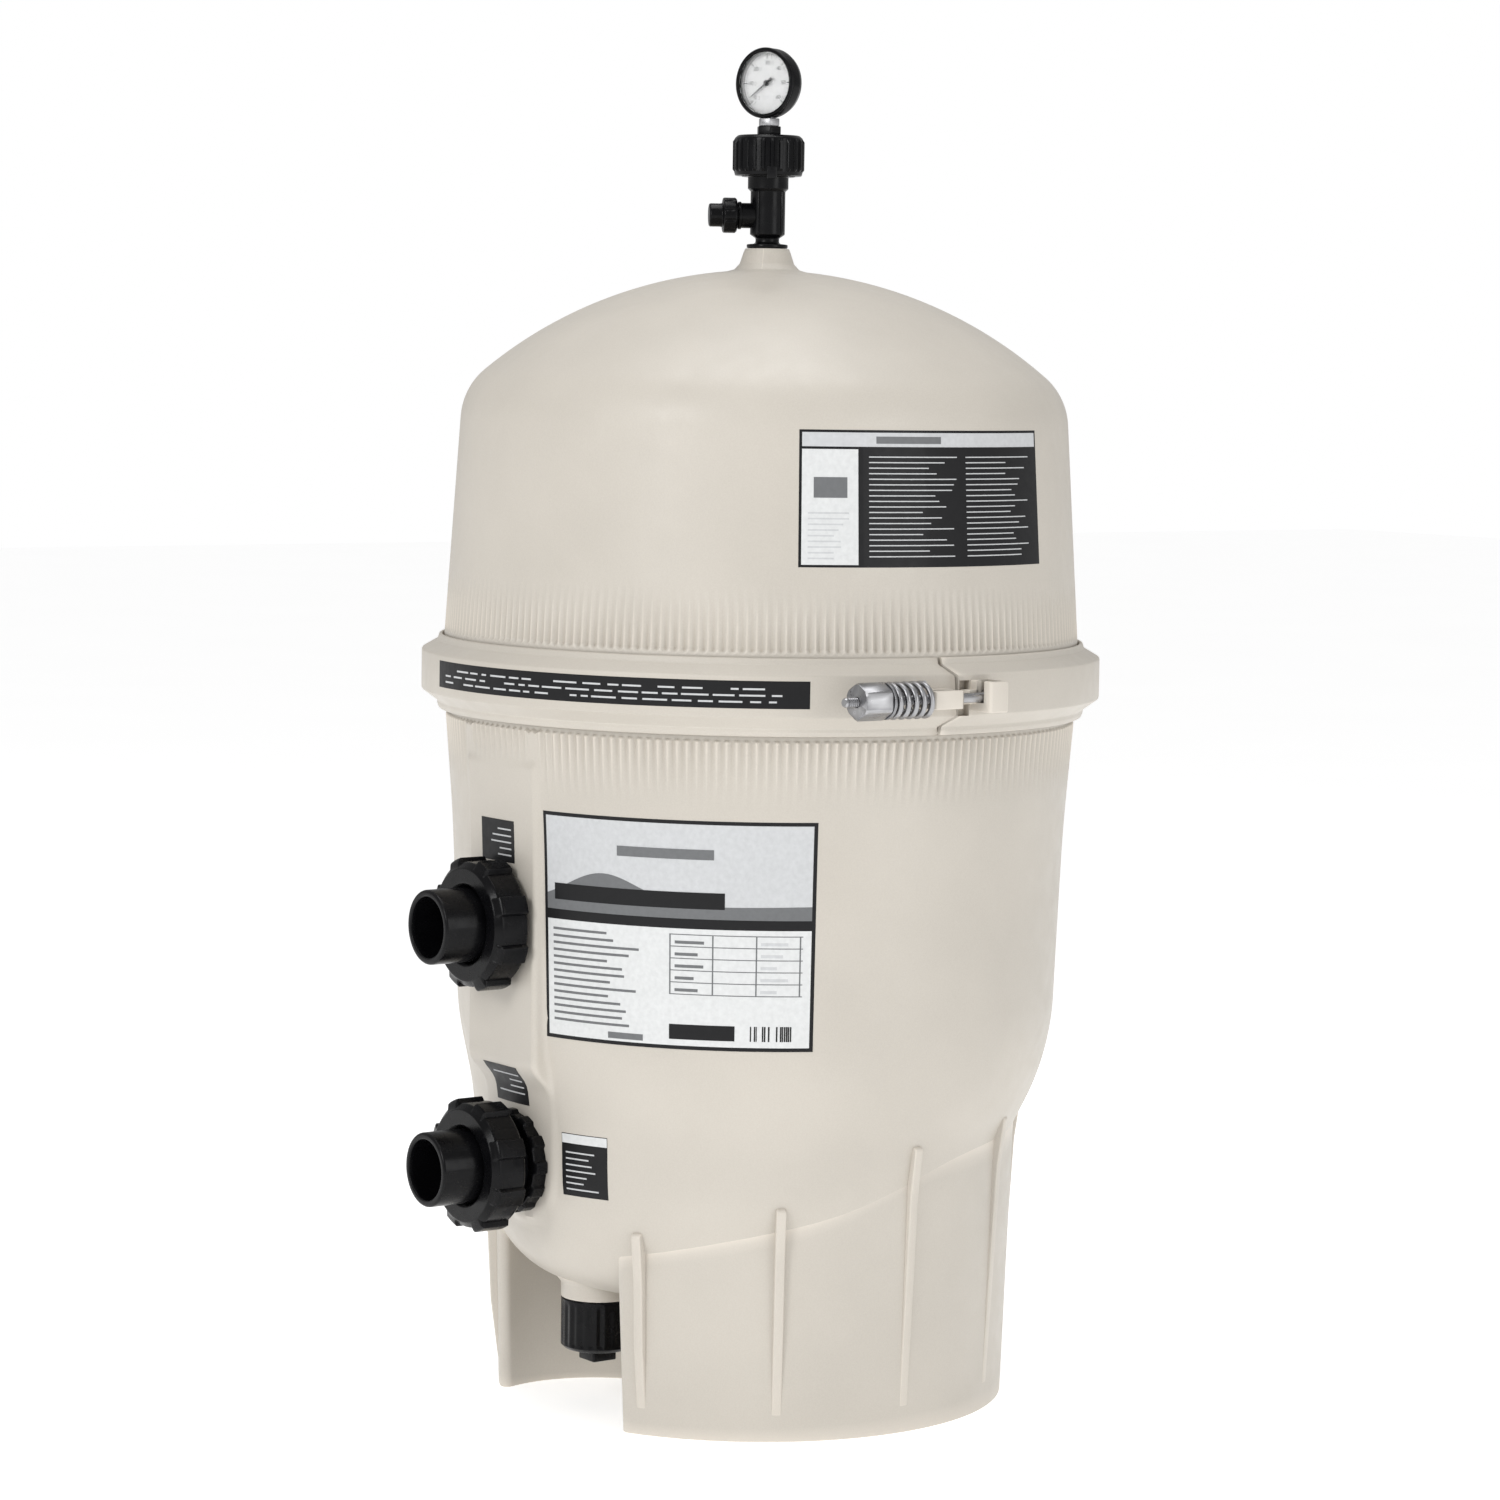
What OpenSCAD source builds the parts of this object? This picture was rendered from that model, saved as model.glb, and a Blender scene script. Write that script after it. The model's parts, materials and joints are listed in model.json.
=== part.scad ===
// Cartridge filter housing: a pool filter tank in two shells, held by a hinged clamp ring,
// with four pleated cartridges between two manifolds, two union ports, a drain and a gauge valve.
// Millimetres. The origin is on the tank's axis at the floor, +Z is up, and the ports point along -X.

/* [Tank] */
// Height of the joint between the lower tank and the lid
split_z = 600; // [598:0.5:602]
// Outer radius of the lid's wall at the clamp
tank_r = 264; // [263:0.25:264.5]
// Outer radius of the lower wall at the clamp
lower_r = 262.3; // [261.5:0.1:263]
// Thickness of the moulded walls
wall = 7; // [6:0.5:8]
// Outer radius of the lower wall where its flare ends
flare_r = 255.2; // [254.5:0.1:256]
// Height at which that flare ends
flare_z = 480; // [470:5:500]
// Outer radius of the lower wall at the shoulder
waist_r = 250.5; // [250:0.1:251.5]
// Radius of the shoulder where the lower wall turns into the bowl
shoulder_r = 220; // [215:1:225]
// Height at which that shoulder starts
shoulder_z = 345; // [340:1:350]
// How far the raised pad round the inlet lies from the axis
pad_x = 254.5; // [254:0.1:255]
// How far the raised pad round the outlet lies from the axis
outlet_pad_x = 233; // [230:0.5:235]
// Half the width of those pads
pad_w = 50; // [48:0.5:52]

/* [Lid] */
// How much the lid's wall leans in, in mm per mm of height
lid_draft = 0.0654; // [0.06:0.001:0.07]
// Radius of the domed crown
crown_r = 360; // [355:1:365]
// Radius of the knuckle between crown and wall
knuckle_r = 56; // [50:1:60]
// Height of the top of the crown
crown_top = 937.4; // [935:0.1:940]
// Height of the face that the relief valve stands on
boss_top = 955; // [954:0.5:956]

/* [Base skirt] */
// Outer radius of the skirt at the floor
skirt_r0 = 212.3; // [210:0.1:213]
// Outer radius of the skirt where it meets the bowl
skirt_r1 = 219.5; // [218:0.1:220]
// Thickness of the skirt
skirt_t = 6; // [5:0.5:7]
// Width of each outer rib
rib_w = 8; // [6:0.5:10]
// Radius of the round recess that clears the drain
notch_r = 91; // [86:1:94]

/* [Ports] */
// Height of the inlet's axis
inlet_z = 408.4; // [399:0.1:419]
// Height of the outlet's axis
outlet_z = 212.5; // [211:0.1:214]
// Distance from the tank's axis to both pipe mouths
mouth_x = 325; // [324:0.1:335]
// Radius of the 1-1/2 inch pipe socket
socket_r = 24.2; // [24.15:0.05:24.3]
// Outer radius of the union tail, that of 2 inch pipe
tail_r = 30.15; // [30:0.05:30.3]
// Radius of the union nut over its grip lugs
union_r = 54.4; // [53:0.1:56]

/* [Clamp] */
// Outer radius of the clamp ring
clamp_r = 282.7; // [282:0.1:283.5]
// Distance from the tank's axis to the T-bolt's centre line
bolt_y = 295; // [294.5:0.1:296]
// Height of the T-bolt's centre line
bolt_z = 603.4; // [603:0.1:604]
// Radius of the T-bolt's shank
bolt_r = 4; // [3.8:0.1:4]
// Outer radius of the spring
spring_r = 14.9; // [13:0.1:15]

/* [Drain] */
// Distance from the tank's axis to the drain
drain_x = 155.3; // [154:0.1:157]
// Radius of the drain cap
drain_cap_r = 30.7; // [29:0.1:32]

/* [Cartridges] */
// Outer radius of each cartridge's end caps
cart_r = 89; // [87:0.5:90]
// Distance from the tank's axis to each cartridge's axis
cart_ring = 130; // [129:0.5:131]
// Height of the cartridges' lower ends
cart_z0 = 250; // [250:0.5:252]
// Height of the cartridges' upper ends
cart_z1 = 848; // [840:0.5:848]

/* [Gauge] */
// Radius of the gauge's case
gauge_r = 29; // [28:0.1:30]
// Height of the gauge's centre
gauge_z = 1090.9; // [1090.5:0.1:1092]
// Direction that the gauge faces, in degrees round from +X
gauge_turn = 198; // [0:1:359]
// Direction of the vent plug, in degrees round from +X
vent_turn = 150; // [0:1:359]

/* [Hidden] */
$fn = 64;

almond = [0.84, 0.80, 0.75];
pvc = [0.07, 0.07, 0.08];
steel = [0.66, 0.67, 0.68];
seal = [0.12, 0.12, 0.12];
fabric = [0.90, 0.90, 0.86];
cap_blue = [0.22, 0.33, 0.45];

// Clamp ring: its band, its lips and the groove that grips the two flanges
clamp_low = 571.8;
clamp_high = 633.5;
lip_r = 265.6;
groove_r = 275;
flange_r = 274;
hinge_y = 290;
split_turn = 265.5;

// Fittings, measured outwards from the tank's axis
nut_in = 259.6;
nut_out = 289.6;
head_face = 273;
flange_face = 275.3;
flange_t = 6.5;
bulk_r = 30;
hole_r = 30.6;
inlet_nut_t = 4.5;
outlet_nut_t = 14;

// Valve stack, from the lid's boss up
neck_z = 965.3;
collar_z = 1004.4;
ring_z0 = 1014.6;
ring_z1 = 1048;
hex_z1 = 1055.6;
vent_z = 982;

// Points of an arc about [cx, cz], from angle a0 to a1 in n steps
function arc(cx, cz, r, a0, a1, n) =
    [for (i = [0:n]) let(a = a0 + (a1 - a0) * i / n) [cx + r * cos(a), cz + r * sin(a)]];

// The lower tank's section, moved inwards by t: a dished bowl, a rounded shoulder and a flared wall
shoulder_x = waist_r - shoulder_r;
function lower_section(t, top) = concat(
    [[0, shoulder_z - shoulder_r + t]],
    arc(shoulder_x, shoulder_z, shoulder_r - t, -90, 0, 20),
    [[flare_r - t, flare_z], [lower_r - t, clamp_low], [lower_r - t, top], [0, top]]);

// The lid's section: the knuckle arc touches both the leaning wall and the crown
lid_turn = atan(lid_draft);
lid_n = [cos(lid_turn), sin(lid_turn)];
lid_t = [-sin(lid_turn), cos(lid_turn)];
crown_z = crown_top - crown_r;
wall_c = lid_n * [tank_r, clamp_high];
knuckle_q = lid_n * (wall_c - knuckle_r) - [0, crown_z];
knuckle_s = -(lid_t * knuckle_q)
    + sqrt(pow(lid_t * knuckle_q, 2) - knuckle_q * knuckle_q + pow(crown_r - knuckle_r, 2));
knuckle_c = lid_n * (wall_c - knuckle_r) + lid_t * knuckle_s;
knuckle_turn = atan2(knuckle_c[1] - crown_z, knuckle_c[0]);
function lid_section(t, low) = concat(
    [[0, low], [tank_r - t, low], [tank_r - t, clamp_high]],
    arc(knuckle_c[0], knuckle_c[1], knuckle_r - t, lid_turn, knuckle_turn, 12),
    arc(0, crown_z, crown_r - t, knuckle_turn + 2, 90, 16));

// Turns a part drawn up the Z axis so that it points out of a port at height z
module port(z) translate([0, 0, z]) rotate([0, -90, 0]) children();

// A tube from height a to height b
module tube(ro, ri, a, b) translate([0, 0, a]) difference() {
    cylinder(r = ro, h = b - a);
    translate([0, 0, -1]) cylinder(r = ri, h = b - a + 2);
}

// A round rod from height a to height b
module rod(r, a, b) translate([0, 0, a]) cylinder(r = r, h = b - a);

// An O-ring: section radius r on a circle of radius ring_r at height z
module o_ring(ring_r, r, z) translate([0, 0, z]) rotate_extrude() translate([ring_r, 0]) circle(r = r);

// ---- Tank ----

// Two round bulges, set towards the ports, make the bowl slope down to the drain.
// Each is [offset from the axis, radius, height of its wall's foot, radius of its lower edge]
deep_bulge = [40, 184.5, 168, 68];
wide_bulge = [22, 206.8, 216, 100];
bulge_top = 250;
module bulge(b, t) translate([-b[0], 0, 0]) rotate_extrude() polygon(concat(
    [[0, b[2] - b[3] + t]],
    arc(b[1] - b[3], b[2], b[3] - t, -90, 0, 10),
    [[b[1] - t, bulge_top], [0, bulge_top]]));
module sump(t) {
    bulge(deep_bulge, t);
    bulge(wide_bulge, t);
}

// The raised pad that carries both ports, moved inwards by t: upright at each port, with a slope between
pad_top = 540;
pad_root = 180;
pad_slope_top = 296;
pad_slope_low = 266;
module port_pad(t, top) {
    rotate([90, 0, 0]) translate([0, 0, t - pad_w]) linear_extrude(2 * (pad_w - t)) polygon([
        [-pad_root, outlet_z], [t - outlet_pad_x, outlet_z], [t - outlet_pad_x, pad_slope_low],
        [t - pad_x, pad_slope_top], [t - pad_x, top], [-pad_root, top]]);
    port(outlet_z) rod(pad_w - t, pad_root, outlet_pad_x - t);
}

module tank_outside() {
    rotate_extrude() polygon(lower_section(0, split_z - 10));
    port_pad(0, pad_top);
    sump(0);
    // The flange that the clamp grips
    rotate_extrude() polygon([[200, split_z - 22], [lower_r - 1, split_z - 22], [flange_r, split_z - 12],
        [flange_r, split_z], [200, split_z]]);
}

module tank_inside() {
    rotate_extrude() polygon(lower_section(wall, split_z + 1));
    port_pad(wall, 450);
    sump(wall);
}

rib_foot = 24;
rib_top = 247;
skirt_top = 240;
module rib() rotate([90, 0, 0]) translate([0, 0, -rib_w / 2]) linear_extrude(rib_w)
    polygon([[206, rib_foot], [skirt_r0 + 1, rib_foot], [skirt_r1 + 0.5, 150], [skirt_r1 + 3.5, 205],
        [229, rib_top], [212, rib_top]]);

module skirt() {
    difference() {
        union() {
            rotate_extrude() polygon([[skirt_r0 - skirt_t, 0], [skirt_r0, 0], [skirt_r1, skirt_top],
                [skirt_r1 - skirt_t, skirt_top - 4]]);
            for (k = [1:11]) rotate(180 + 30 * k) rib();
        }
        translate([-drain_x, 0, -1]) cylinder(r = notch_r, h = 260);
    }
    intersection() {
        translate([-drain_x, 0, 0]) tube(notch_r + skirt_t, notch_r, 0, 185);
        cylinder(r1 = skirt_r0 - 2, r2 = skirt_r1 - 5, h = 186);
    }
}

// The drain's spigot and the collar above it
collar_low = 91.5;
boss_low = 70;
module drain_boss() translate([-drain_x, 0, 0]) {
    rod(24, boss_low, 112);
    rod(31, collar_low, 112);
}

module tank_lower() color(almond) difference() {
    union() {
        tank_outside();
        drain_boss();
    }
    tank_inside();
    tube(269.5, 262.5, split_z - 5, split_z + 1);
    port(inlet_z) rod(hole_r, pad_x - 20, pad_x + 20);
    port(outlet_z) rod(hole_r, outlet_pad_x - 20, outlet_pad_x + 20);
    translate([-drain_x, 0, 0]) rod(17, boss_low - 10, 120);
}

module base_skirt() color(almond) difference() {
    skirt();
    tank_outside();
}

module tank_lid() color(almond) rotate_extrude() difference() {
    union() {
        polygon(lid_section(0, split_z + 0.2));
        polygon([[200, split_z + 0.2], [flange_r, split_z + 0.2], [flange_r, split_z + 12],
            [tank_r - 1, split_z + 22], [200, split_z + 22]]);
        polygon([[0, crown_top - 10], [40, crown_top - 6], [29, crown_top - 0.5], [23.7, crown_top + 3],
            [19.5, boss_top - 4], [18.2, boss_top], [0, boss_top]]);
    }
    polygon(lid_section(wall, split_z - 1));
    square([9, boss_top + 1]);
    // The seat for the relief valve's O-ring
    translate([0, boss_top - 2.6]) square([13.8, 4]);
}

module tank_o_ring() color(seal) o_ring(266, 2.5, split_z - 2.5);

// ---- Clamp ring ----

module clamp_section() polygon([[lip_r, clamp_low], [268.5, clamp_low + 4], [269.7, 578.5],
    [clamp_r, 588], [clamp_r, 620.8], [269.7, 628.3], [lip_r, clamp_high], [lip_r, 622.5],
    [groove_r, 613.2], [groove_r, 586.8], [lip_r, 577.2]]);

module clamp_arc(a0, a1) rotate([0, 0, a0]) rotate_extrude(angle = a1 - a0, $fn = 96) clamp_section();

// The lips stop short of the hinge so that the halves can swing clear
module hinge_relief() rotate([0, 0, 77]) rotate_extrude(angle = 26, $fn = 96)
    translate([200, 560]) square([groove_r + 1 - 200, 80]);

module knuckles(spans) for (s = spans) translate([0, hinge_y, 0]) {
    rod(9, s[0], s[1]);
}

module clamp_left() color(almond) difference() {
    union() {
        difference() {
            clamp_arc(92.5, split_turn - 0.3);
            hinge_relief();
        }
        // The nose that reaches into the other half
        rotate([0, 0, split_turn - 1]) rotate_extrude(angle = 3.2, $fn = 96)
            translate([276, bolt_z - 10.5]) square([clamp_r - 276.6, 20]);
        // The saddle that the T-bolt lies in
        translate([-54, -304.5, bolt_z - 8]) cube([30, 27.5, 15]);
        knuckles([[571, 585], [615, 629]]);
        for (z = [571.5, 615.5]) translate([-18, 277, z]) cube([14, 9, 13]);
    }
    translate([-60, -bolt_y - 6.5, bolt_z - 4.3]) cube([40, 13, 20]);
    translate([0, hinge_y, 0]) rod(4.08, 560, 640);
    translate([0, hinge_y, 585.3]) rod(10, 0, 29.4);
}

module clamp_right() color(almond) difference() {
    union() {
        difference() {
            clamp_arc(split_turn + 0.3, 447.5);
            hinge_relief();
            // The window that takes the other half's nose
            rotate([0, 0, split_turn - 1]) rotate_extrude(angle = 4, $fn = 96)
                translate([275.5, bolt_z - 12]) square([clamp_r - 274, 23]);
        }
        // The pocket that holds the T-bolt's head
        translate([-8, -308, bolt_z - 12]) cube([26, 29, 25]);
        knuckles([[586, 614]]);
        translate([4, 277, 586.5]) cube([14, 9, 27]);
    }
    translate([2.5, -bolt_y - 9.5, bolt_z - 5.8]) cube([12, 19, 30]);
    translate([-9, -bolt_y - 4.5, bolt_z - 4.3]) cube([13, 9, 30]);
    translate([0, hinge_y, 0]) rod(4.08, 560, 640);
    for (z = [560, 614.3]) translate([0, hinge_y, z]) rod(10, 0, 25.7);
}

module clamp_hinge_pin() color(steel) translate([0, hinge_y, 0]) {
    rod(4, 569, 631);
    rod(6, 629.3, 633);
}

// Turns a part drawn up the Z axis so that it lies along the T-bolt, from its head outwards
bolt_x = 8.5;
module along_bolt() translate([bolt_x, -bolt_y, bolt_z]) rotate([0, -90, 0]) children();

module t_bolt() color(steel) {
    along_bolt() rod(bolt_r, 0, 143.5);
    translate([bolt_x, -bolt_y, bolt_z]) rotate([90, 0, 0]) rod(5, -8.5, 8.5);
}

// The spring: a round wire swept along a helix
spring_a = 63;
spring_b = 102;
wire_r = 2.3;
turns = 5;
steps = 20;
sides = 8;
spring_n = turns * steps;
module clamp_spring() color(steel) along_bolt() polyhedron(
    points = [for (i = [0:spring_n], k = [0:sides - 1])
        let(a = 360 * i / steps, b = 360 * k / sides, r = spring_r - wire_r + wire_r * cos(b))
        [r * cos(a), r * sin(a),
            spring_a + wire_r + (spring_b - spring_a - 2 * wire_r) * i / spring_n + wire_r * sin(b)]],
    faces = concat(
        [[for (k = [0:sides - 1]) k]],
        [[for (k = [0:sides - 1]) spring_n * sides + sides - 1 - k]],
        [for (i = [0:spring_n - 1], k = [0:sides - 1])
            let(j = (k + 1) % sides, o = i * sides)
            [o + k, o + sides + k, o + sides + j, o + j]]));

module spring_washer() color(steel) along_bolt() tube(14.5, bolt_r + 0.4, spring_b + 0.3, spring_b + 2.8);

module barrel_nut() color(steel) along_bolt() difference() {
    translate([0, 0, spring_b + 3.2]) cylinder(r = 15, h = 26, $fn = 6);
    rod(bolt_r + 0.4, spring_b, spring_b + 40);
}

// ---- Ports ----

// A bulkhead fitting: an inner flange, a tube through the wall at distance x and the union's head
module bulkhead(z, x, t) color(pvc) port(z) difference() {
    union() {
        rod(40, x - wall - 9.3, x - wall - 3.3);
        rod(bulk_r, x - wall - 9.3, nut_in);
        rod(34, x + t + 0.5, nut_in + 1);
        rod(43.5, nut_in + 0.5, head_face);
    }
    rod(socket_r, x - 40, head_face + 1);
    tube(36.8, 31.2, head_face - 3, head_face + 1);
}
module bulkhead_gasket(z, x) color(seal) port(z) tube(39.5, bulk_r + 0.6, x - wall - 3.2, x - wall);
module lock_nut(z, x, t) color(pvc) port(z) difference() {
    union() {
        rod(40.5, x, x + t);
        for (k = [0:11]) rotate(30 * k) translate([38, -5, x + 0.5]) cube([4.8, 10, t - 1]);
    }
    rod(bulk_r + 0.2, x - 1, x + 20);
}
module union_o_ring(z) color(seal) port(z) o_ring(34, 2.45, head_face - 0.4);
module union_tail(z) color(pvc) port(z) difference() {
    union() {
        rod(43, flange_face, flange_face + flange_t);
        rod(tail_r, flange_face, mouth_x);
    }
    rod(20.5, flange_face - 1, mouth_x);
    rod(socket_r, mouth_x - 38, mouth_x + 1);
}
lugs = 8;
module union_nut(z) color(pvc) port(z) difference() {
    union() {
        rod(50.5, nut_in, nut_out);
        for (k = [0:lugs - 1]) rotate(360 * (k + 0.5) / lugs)
            translate([48, -8, nut_in + 1.5]) cube([union_r - 48, 16, nut_out - nut_in - 3]);
    }
    rod(44.5, nut_in - 1, flange_face + flange_t + 0.5);
    rod(tail_r + 0.9, nut_in, nut_out + 1);
}

module inlet_bulkhead() bulkhead(inlet_z, pad_x, inlet_nut_t);
module inlet_gasket() bulkhead_gasket(inlet_z, pad_x);
module inlet_lock_nut() lock_nut(inlet_z, pad_x, inlet_nut_t);
module inlet_union_o_ring() union_o_ring(inlet_z);
module inlet_union_tail() union_tail(inlet_z);
module inlet_union_nut() union_nut(inlet_z);
module outlet_bulkhead() bulkhead(outlet_z, outlet_pad_x, outlet_nut_t);
module outlet_gasket() bulkhead_gasket(outlet_z, outlet_pad_x);
module outlet_lock_nut() lock_nut(outlet_z, outlet_pad_x, outlet_nut_t);
module outlet_union_o_ring() union_o_ring(outlet_z);
module outlet_union_tail() union_tail(outlet_z);
module outlet_union_nut() union_nut(outlet_z);

// A closed cup that turns the incoming water aside, away from the pleats
module inlet_diffuser() color(pvc) port(inlet_z) difference() {
    rod(29, 172, pad_x - wall - 9.3);
    rod(socket_r, 176, 240);
    for (a = [0, 90]) rotate(a) translate([-14, -40, 178]) cube([28, 80, 26]);
}

module outlet_connector() color(pvc) port(outlet_z) tube(23.9, 20.5, 128, 228);

// ---- Drain ----

module drain_gasket() color(seal) translate([-drain_x, 0, 0]) tube(23.5, 17.2, 66.6, 69.7);
module drain_cap() color(pvc) translate([-drain_x, 0, 0]) difference() {
    union() {
        rod(drain_cap_r, 48.4, 91);
        translate([-11.5, -11.5, 38]) cube([23, 23, 11]);
    }
    rod(24.7, 66.2, 92);
}

// ---- Air relief valve ----

module vent_port() translate([0, 0, vent_z]) rotate([0, 0, vent_turn]) rotate([0, 90, 0]) children();

module valve_body() color(pvc) difference() {
    union() {
        rod(8.7, boss_top - 30, boss_top + 1);
        rod(17, boss_top + 0.3, boss_top + 3.3);
        rod(9.5, boss_top + 1, neck_z + 1);
        rod(14.4, neck_z, collar_z + 1);
        rod(16.8, collar_z, ring_z0);
        rod(22, ring_z0 - 0.5, ring_z0 + 22);
        vent_port() rod(10.5, 0, 31);
    }
    rod(5.5, boss_top - 40, ring_z0);
    rod(15, ring_z0 + 2, ring_z0 + 30);
    vent_port() rod(6, 0, 40);
}
module valve_base_o_ring() color(seal) tube(13.5, 9.1, boss_top - 2.4, boss_top + 0.2);
module valve_stem() color(pvc) difference() {
    union() {
        rod(14.6, ring_z0 + 5, ring_z0 + 23);
        rod(8.6, ring_z0 + 22, hex_z1);
        translate([0, 0, ring_z1 + 0.3]) cylinder(r = 10.7, h = hex_z1 - ring_z1 - 0.3, $fn = 6);
    }
    rod(5.6, ring_z0 + 26, hex_z1 + 1);
    rod(3, ring_z0, hex_z1);
    tube(16, 11.7, ring_z0 + 10, ring_z0 + 13.4);
}
module stem_o_ring() color(seal) o_ring(13.4, 1.5, ring_z0 + 11.7);
module lock_ring() color(pvc) difference() {
    union() {
        rod(28.3, ring_z0 + 0.2, ring_z1);
        for (k = [0:23]) rotate(15 * k) translate([27, -2, ring_z0 + 5]) cube([2.8, 4, 25]);
        for (a = [60, 240]) rotate(a) translate([27, -4, ring_z0 - 3]) cube([2.8, 8, 9]);
    }
    rod(22.6, ring_z0 - 1, ring_z1 - 8);
    rod(9, ring_z0, ring_z1 + 1);
    rod(23.5, ring_z0 - 10, ring_z0 + 0.2);
}
module vent_seal() color(seal) vent_port() tube(10.4, 6.3, 31.2, 33.4);
module vent_cap() color(pvc) vent_port() difference() {
    union() {
        rod(14.6, 26, 38);
        rod(9.6, 37, 49);
    }
    rod(11, 25, 33.7);
}

// ---- Gauge ----

// Turns a part drawn up the Z axis so that it faces the way the gauge does
module facing() translate([0, 0, gauge_z]) rotate([0, 0, gauge_turn]) rotate([0, 90, 0]) children();

socket_top = gauge_z - gauge_r + 3;
module gauge_socket() color(steel) {
    rod(5.3, hex_z1 - 12, socket_top - 0.4);
    translate([0, 0, hex_z1 + 0.2]) cylinder(r = 9.3, h = socket_top - 3 - hex_z1 - 0.4, $fn = 6);
}
module gauge_case() color(pvc) difference() {
    facing() difference() {
        rod(gauge_r, -11, 6.5);
        rod(gauge_r - 3, -7, 7);
    }
    rod(5.5, gauge_z - gauge_r - 5, gauge_z - gauge_r + 8);
}
module gauge_dial() color("white") facing() tube(gauge_r - 3.2, 1.2, 2.6, 3.4);
module gauge_pointer() color(pvc) facing() {
    rod(0.9, -4, 5);
    rod(2.6, 4.2, 5.4);
    rotate([0, 0, -35]) translate([-0.9, -20.5, 4.4]) cube([1.8, 26, 0.8]);
}
module gauge_lens() color([0.8, 0.9, 0.95, 0.4]) facing() rod(gauge_r - 3.7, 7, 8.6);
module gauge_bezel() color(pvc) facing() tube(gauge_r, gauge_r - 3.5, 6.6, 9.2);

// ---- Inside the tank ----

spigot_r = 30;
hub_r = 62;
seat_z = cart_z0 - 0.2;
module at_cartridges() for (k = [0:3]) rotate(45 + 90 * k) translate([cart_ring, 0, 0]) children();

module bottom_manifold() color(pvc) difference() {
    union() {
        rod(hub_r, 188, seat_z);
        for (k = [0:3]) rotate(45 + 90 * k) translate([0, -25, 200]) cube([cart_ring, 50, 38]);
        at_cartridges() rod(74, 236, seat_z);
        at_cartridges() rod(spigot_r, seat_z - 1, cart_z0 + 12);
        port(outlet_z) rod(29, 0, 150);
    }
    rod(hub_r - 6, 194, 240);
    for (k = [0:3]) rotate(45 + 90 * k) translate([0, -19, 206]) cube([cart_ring, 38, 26]);
    at_cartridges() rod(24, 206, cart_z0 + 13);
    port(outlet_z) rod(socket_r, 30, 151);
    rod(5.2, 235, cart_z0 + 1);
}
module top_manifold() color(pvc) difference() {
    union() {
        rod(46, cart_z1 + 0.3, cart_z1 + 14);
        for (k = [0:3]) rotate(45 + 90 * k) translate([0, -18, cart_z1 + 2]) cube([cart_ring, 36, 12]);
        at_cartridges() rod(44, cart_z1 + 0.3, cart_z1 + 14);
        at_cartridges() rod(spigot_r, cart_z1 - 11, cart_z1 + 1);
    }
    at_cartridges() rod(24, cart_z1 - 12, cart_z1 + 8);
    rod(5.6, cart_z1 - 1, cart_z1 + 20);
}
module air_bleed_tube() color(pvc) tube(5, 3.4, 236, cart_z1 + 26);
module air_bleed_screen() color(fabric) difference() {
    rod(11, cart_z1 + 18, crown_top - wall - 12);
    rod(5.1, cart_z1 + 17, cart_z1 + 26.2);
    rod(8.5, cart_z1 + 26.2, crown_top - wall - 14);
}

cap_t = 12;
module cartridge_at(k) rotate(45 + 90 * (k - 1)) translate([cart_ring, 0, 0]) children();
module cartridge_media(k) color(fabric) cartridge_at(k)
    tube(cart_r - 3, 46.2, cart_z0 + cap_t, cart_z1 - cap_t);
module cartridge_core(k) color(cap_blue) cartridge_at(k)
    tube(46, 42, cart_z0 + cap_t, cart_z1 - cap_t);
module cartridge_caps(k) color(cap_blue) cartridge_at(k) {
    tube(cart_r, spigot_r + 0.6, cart_z0, cart_z0 + cap_t);
    tube(cart_r, spigot_r + 0.6, cart_z1 - cap_t, cart_z1);
}

tank_lower();
base_skirt();
tank_lid();
tank_o_ring();
clamp_left();
clamp_right();
clamp_hinge_pin();
t_bolt();
clamp_spring();
spring_washer();
barrel_nut();
inlet_bulkhead();
inlet_gasket();
inlet_lock_nut();
inlet_union_o_ring();
inlet_union_tail();
inlet_union_nut();
inlet_diffuser();
outlet_bulkhead();
outlet_gasket();
outlet_lock_nut();
outlet_union_o_ring();
outlet_union_tail();
outlet_union_nut();
outlet_connector();
drain_gasket();
drain_cap();
valve_body();
valve_base_o_ring();
valve_stem();
stem_o_ring();
lock_ring();
vent_seal();
vent_cap();
gauge_socket();
gauge_case();
gauge_dial();
gauge_pointer();
gauge_lens();
gauge_bezel();
bottom_manifold();
top_manifold();
air_bleed_tube();
air_bleed_screen();
cartridge_media(1);  // cartridge_1_media
cartridge_core(1);  // cartridge_1_core
cartridge_caps(1);  // cartridge_1_caps
cartridge_media(2);  // cartridge_2_media
cartridge_core(2);  // cartridge_2_core
cartridge_caps(2);  // cartridge_2_caps
cartridge_media(3);  // cartridge_3_media
cartridge_core(3);  // cartridge_3_core
cartridge_caps(3);  // cartridge_3_caps
cartridge_media(4);  // cartridge_4_media
cartridge_core(4);  // cartridge_4_core
cartridge_caps(4);  // cartridge_4_caps
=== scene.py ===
"""Looks of the cartridge filter housing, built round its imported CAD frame.

Every length in this file is in millimetres, in the frame's axes: the origin is on the tank's axis at the
floor, +Z is up and the ports point along -X. MM turns them into Blender's metres when a mesh is made.
"""

import json
import math

import bmesh
import bpy
import numpy as np
from mathutils import Matrix, Vector


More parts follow.
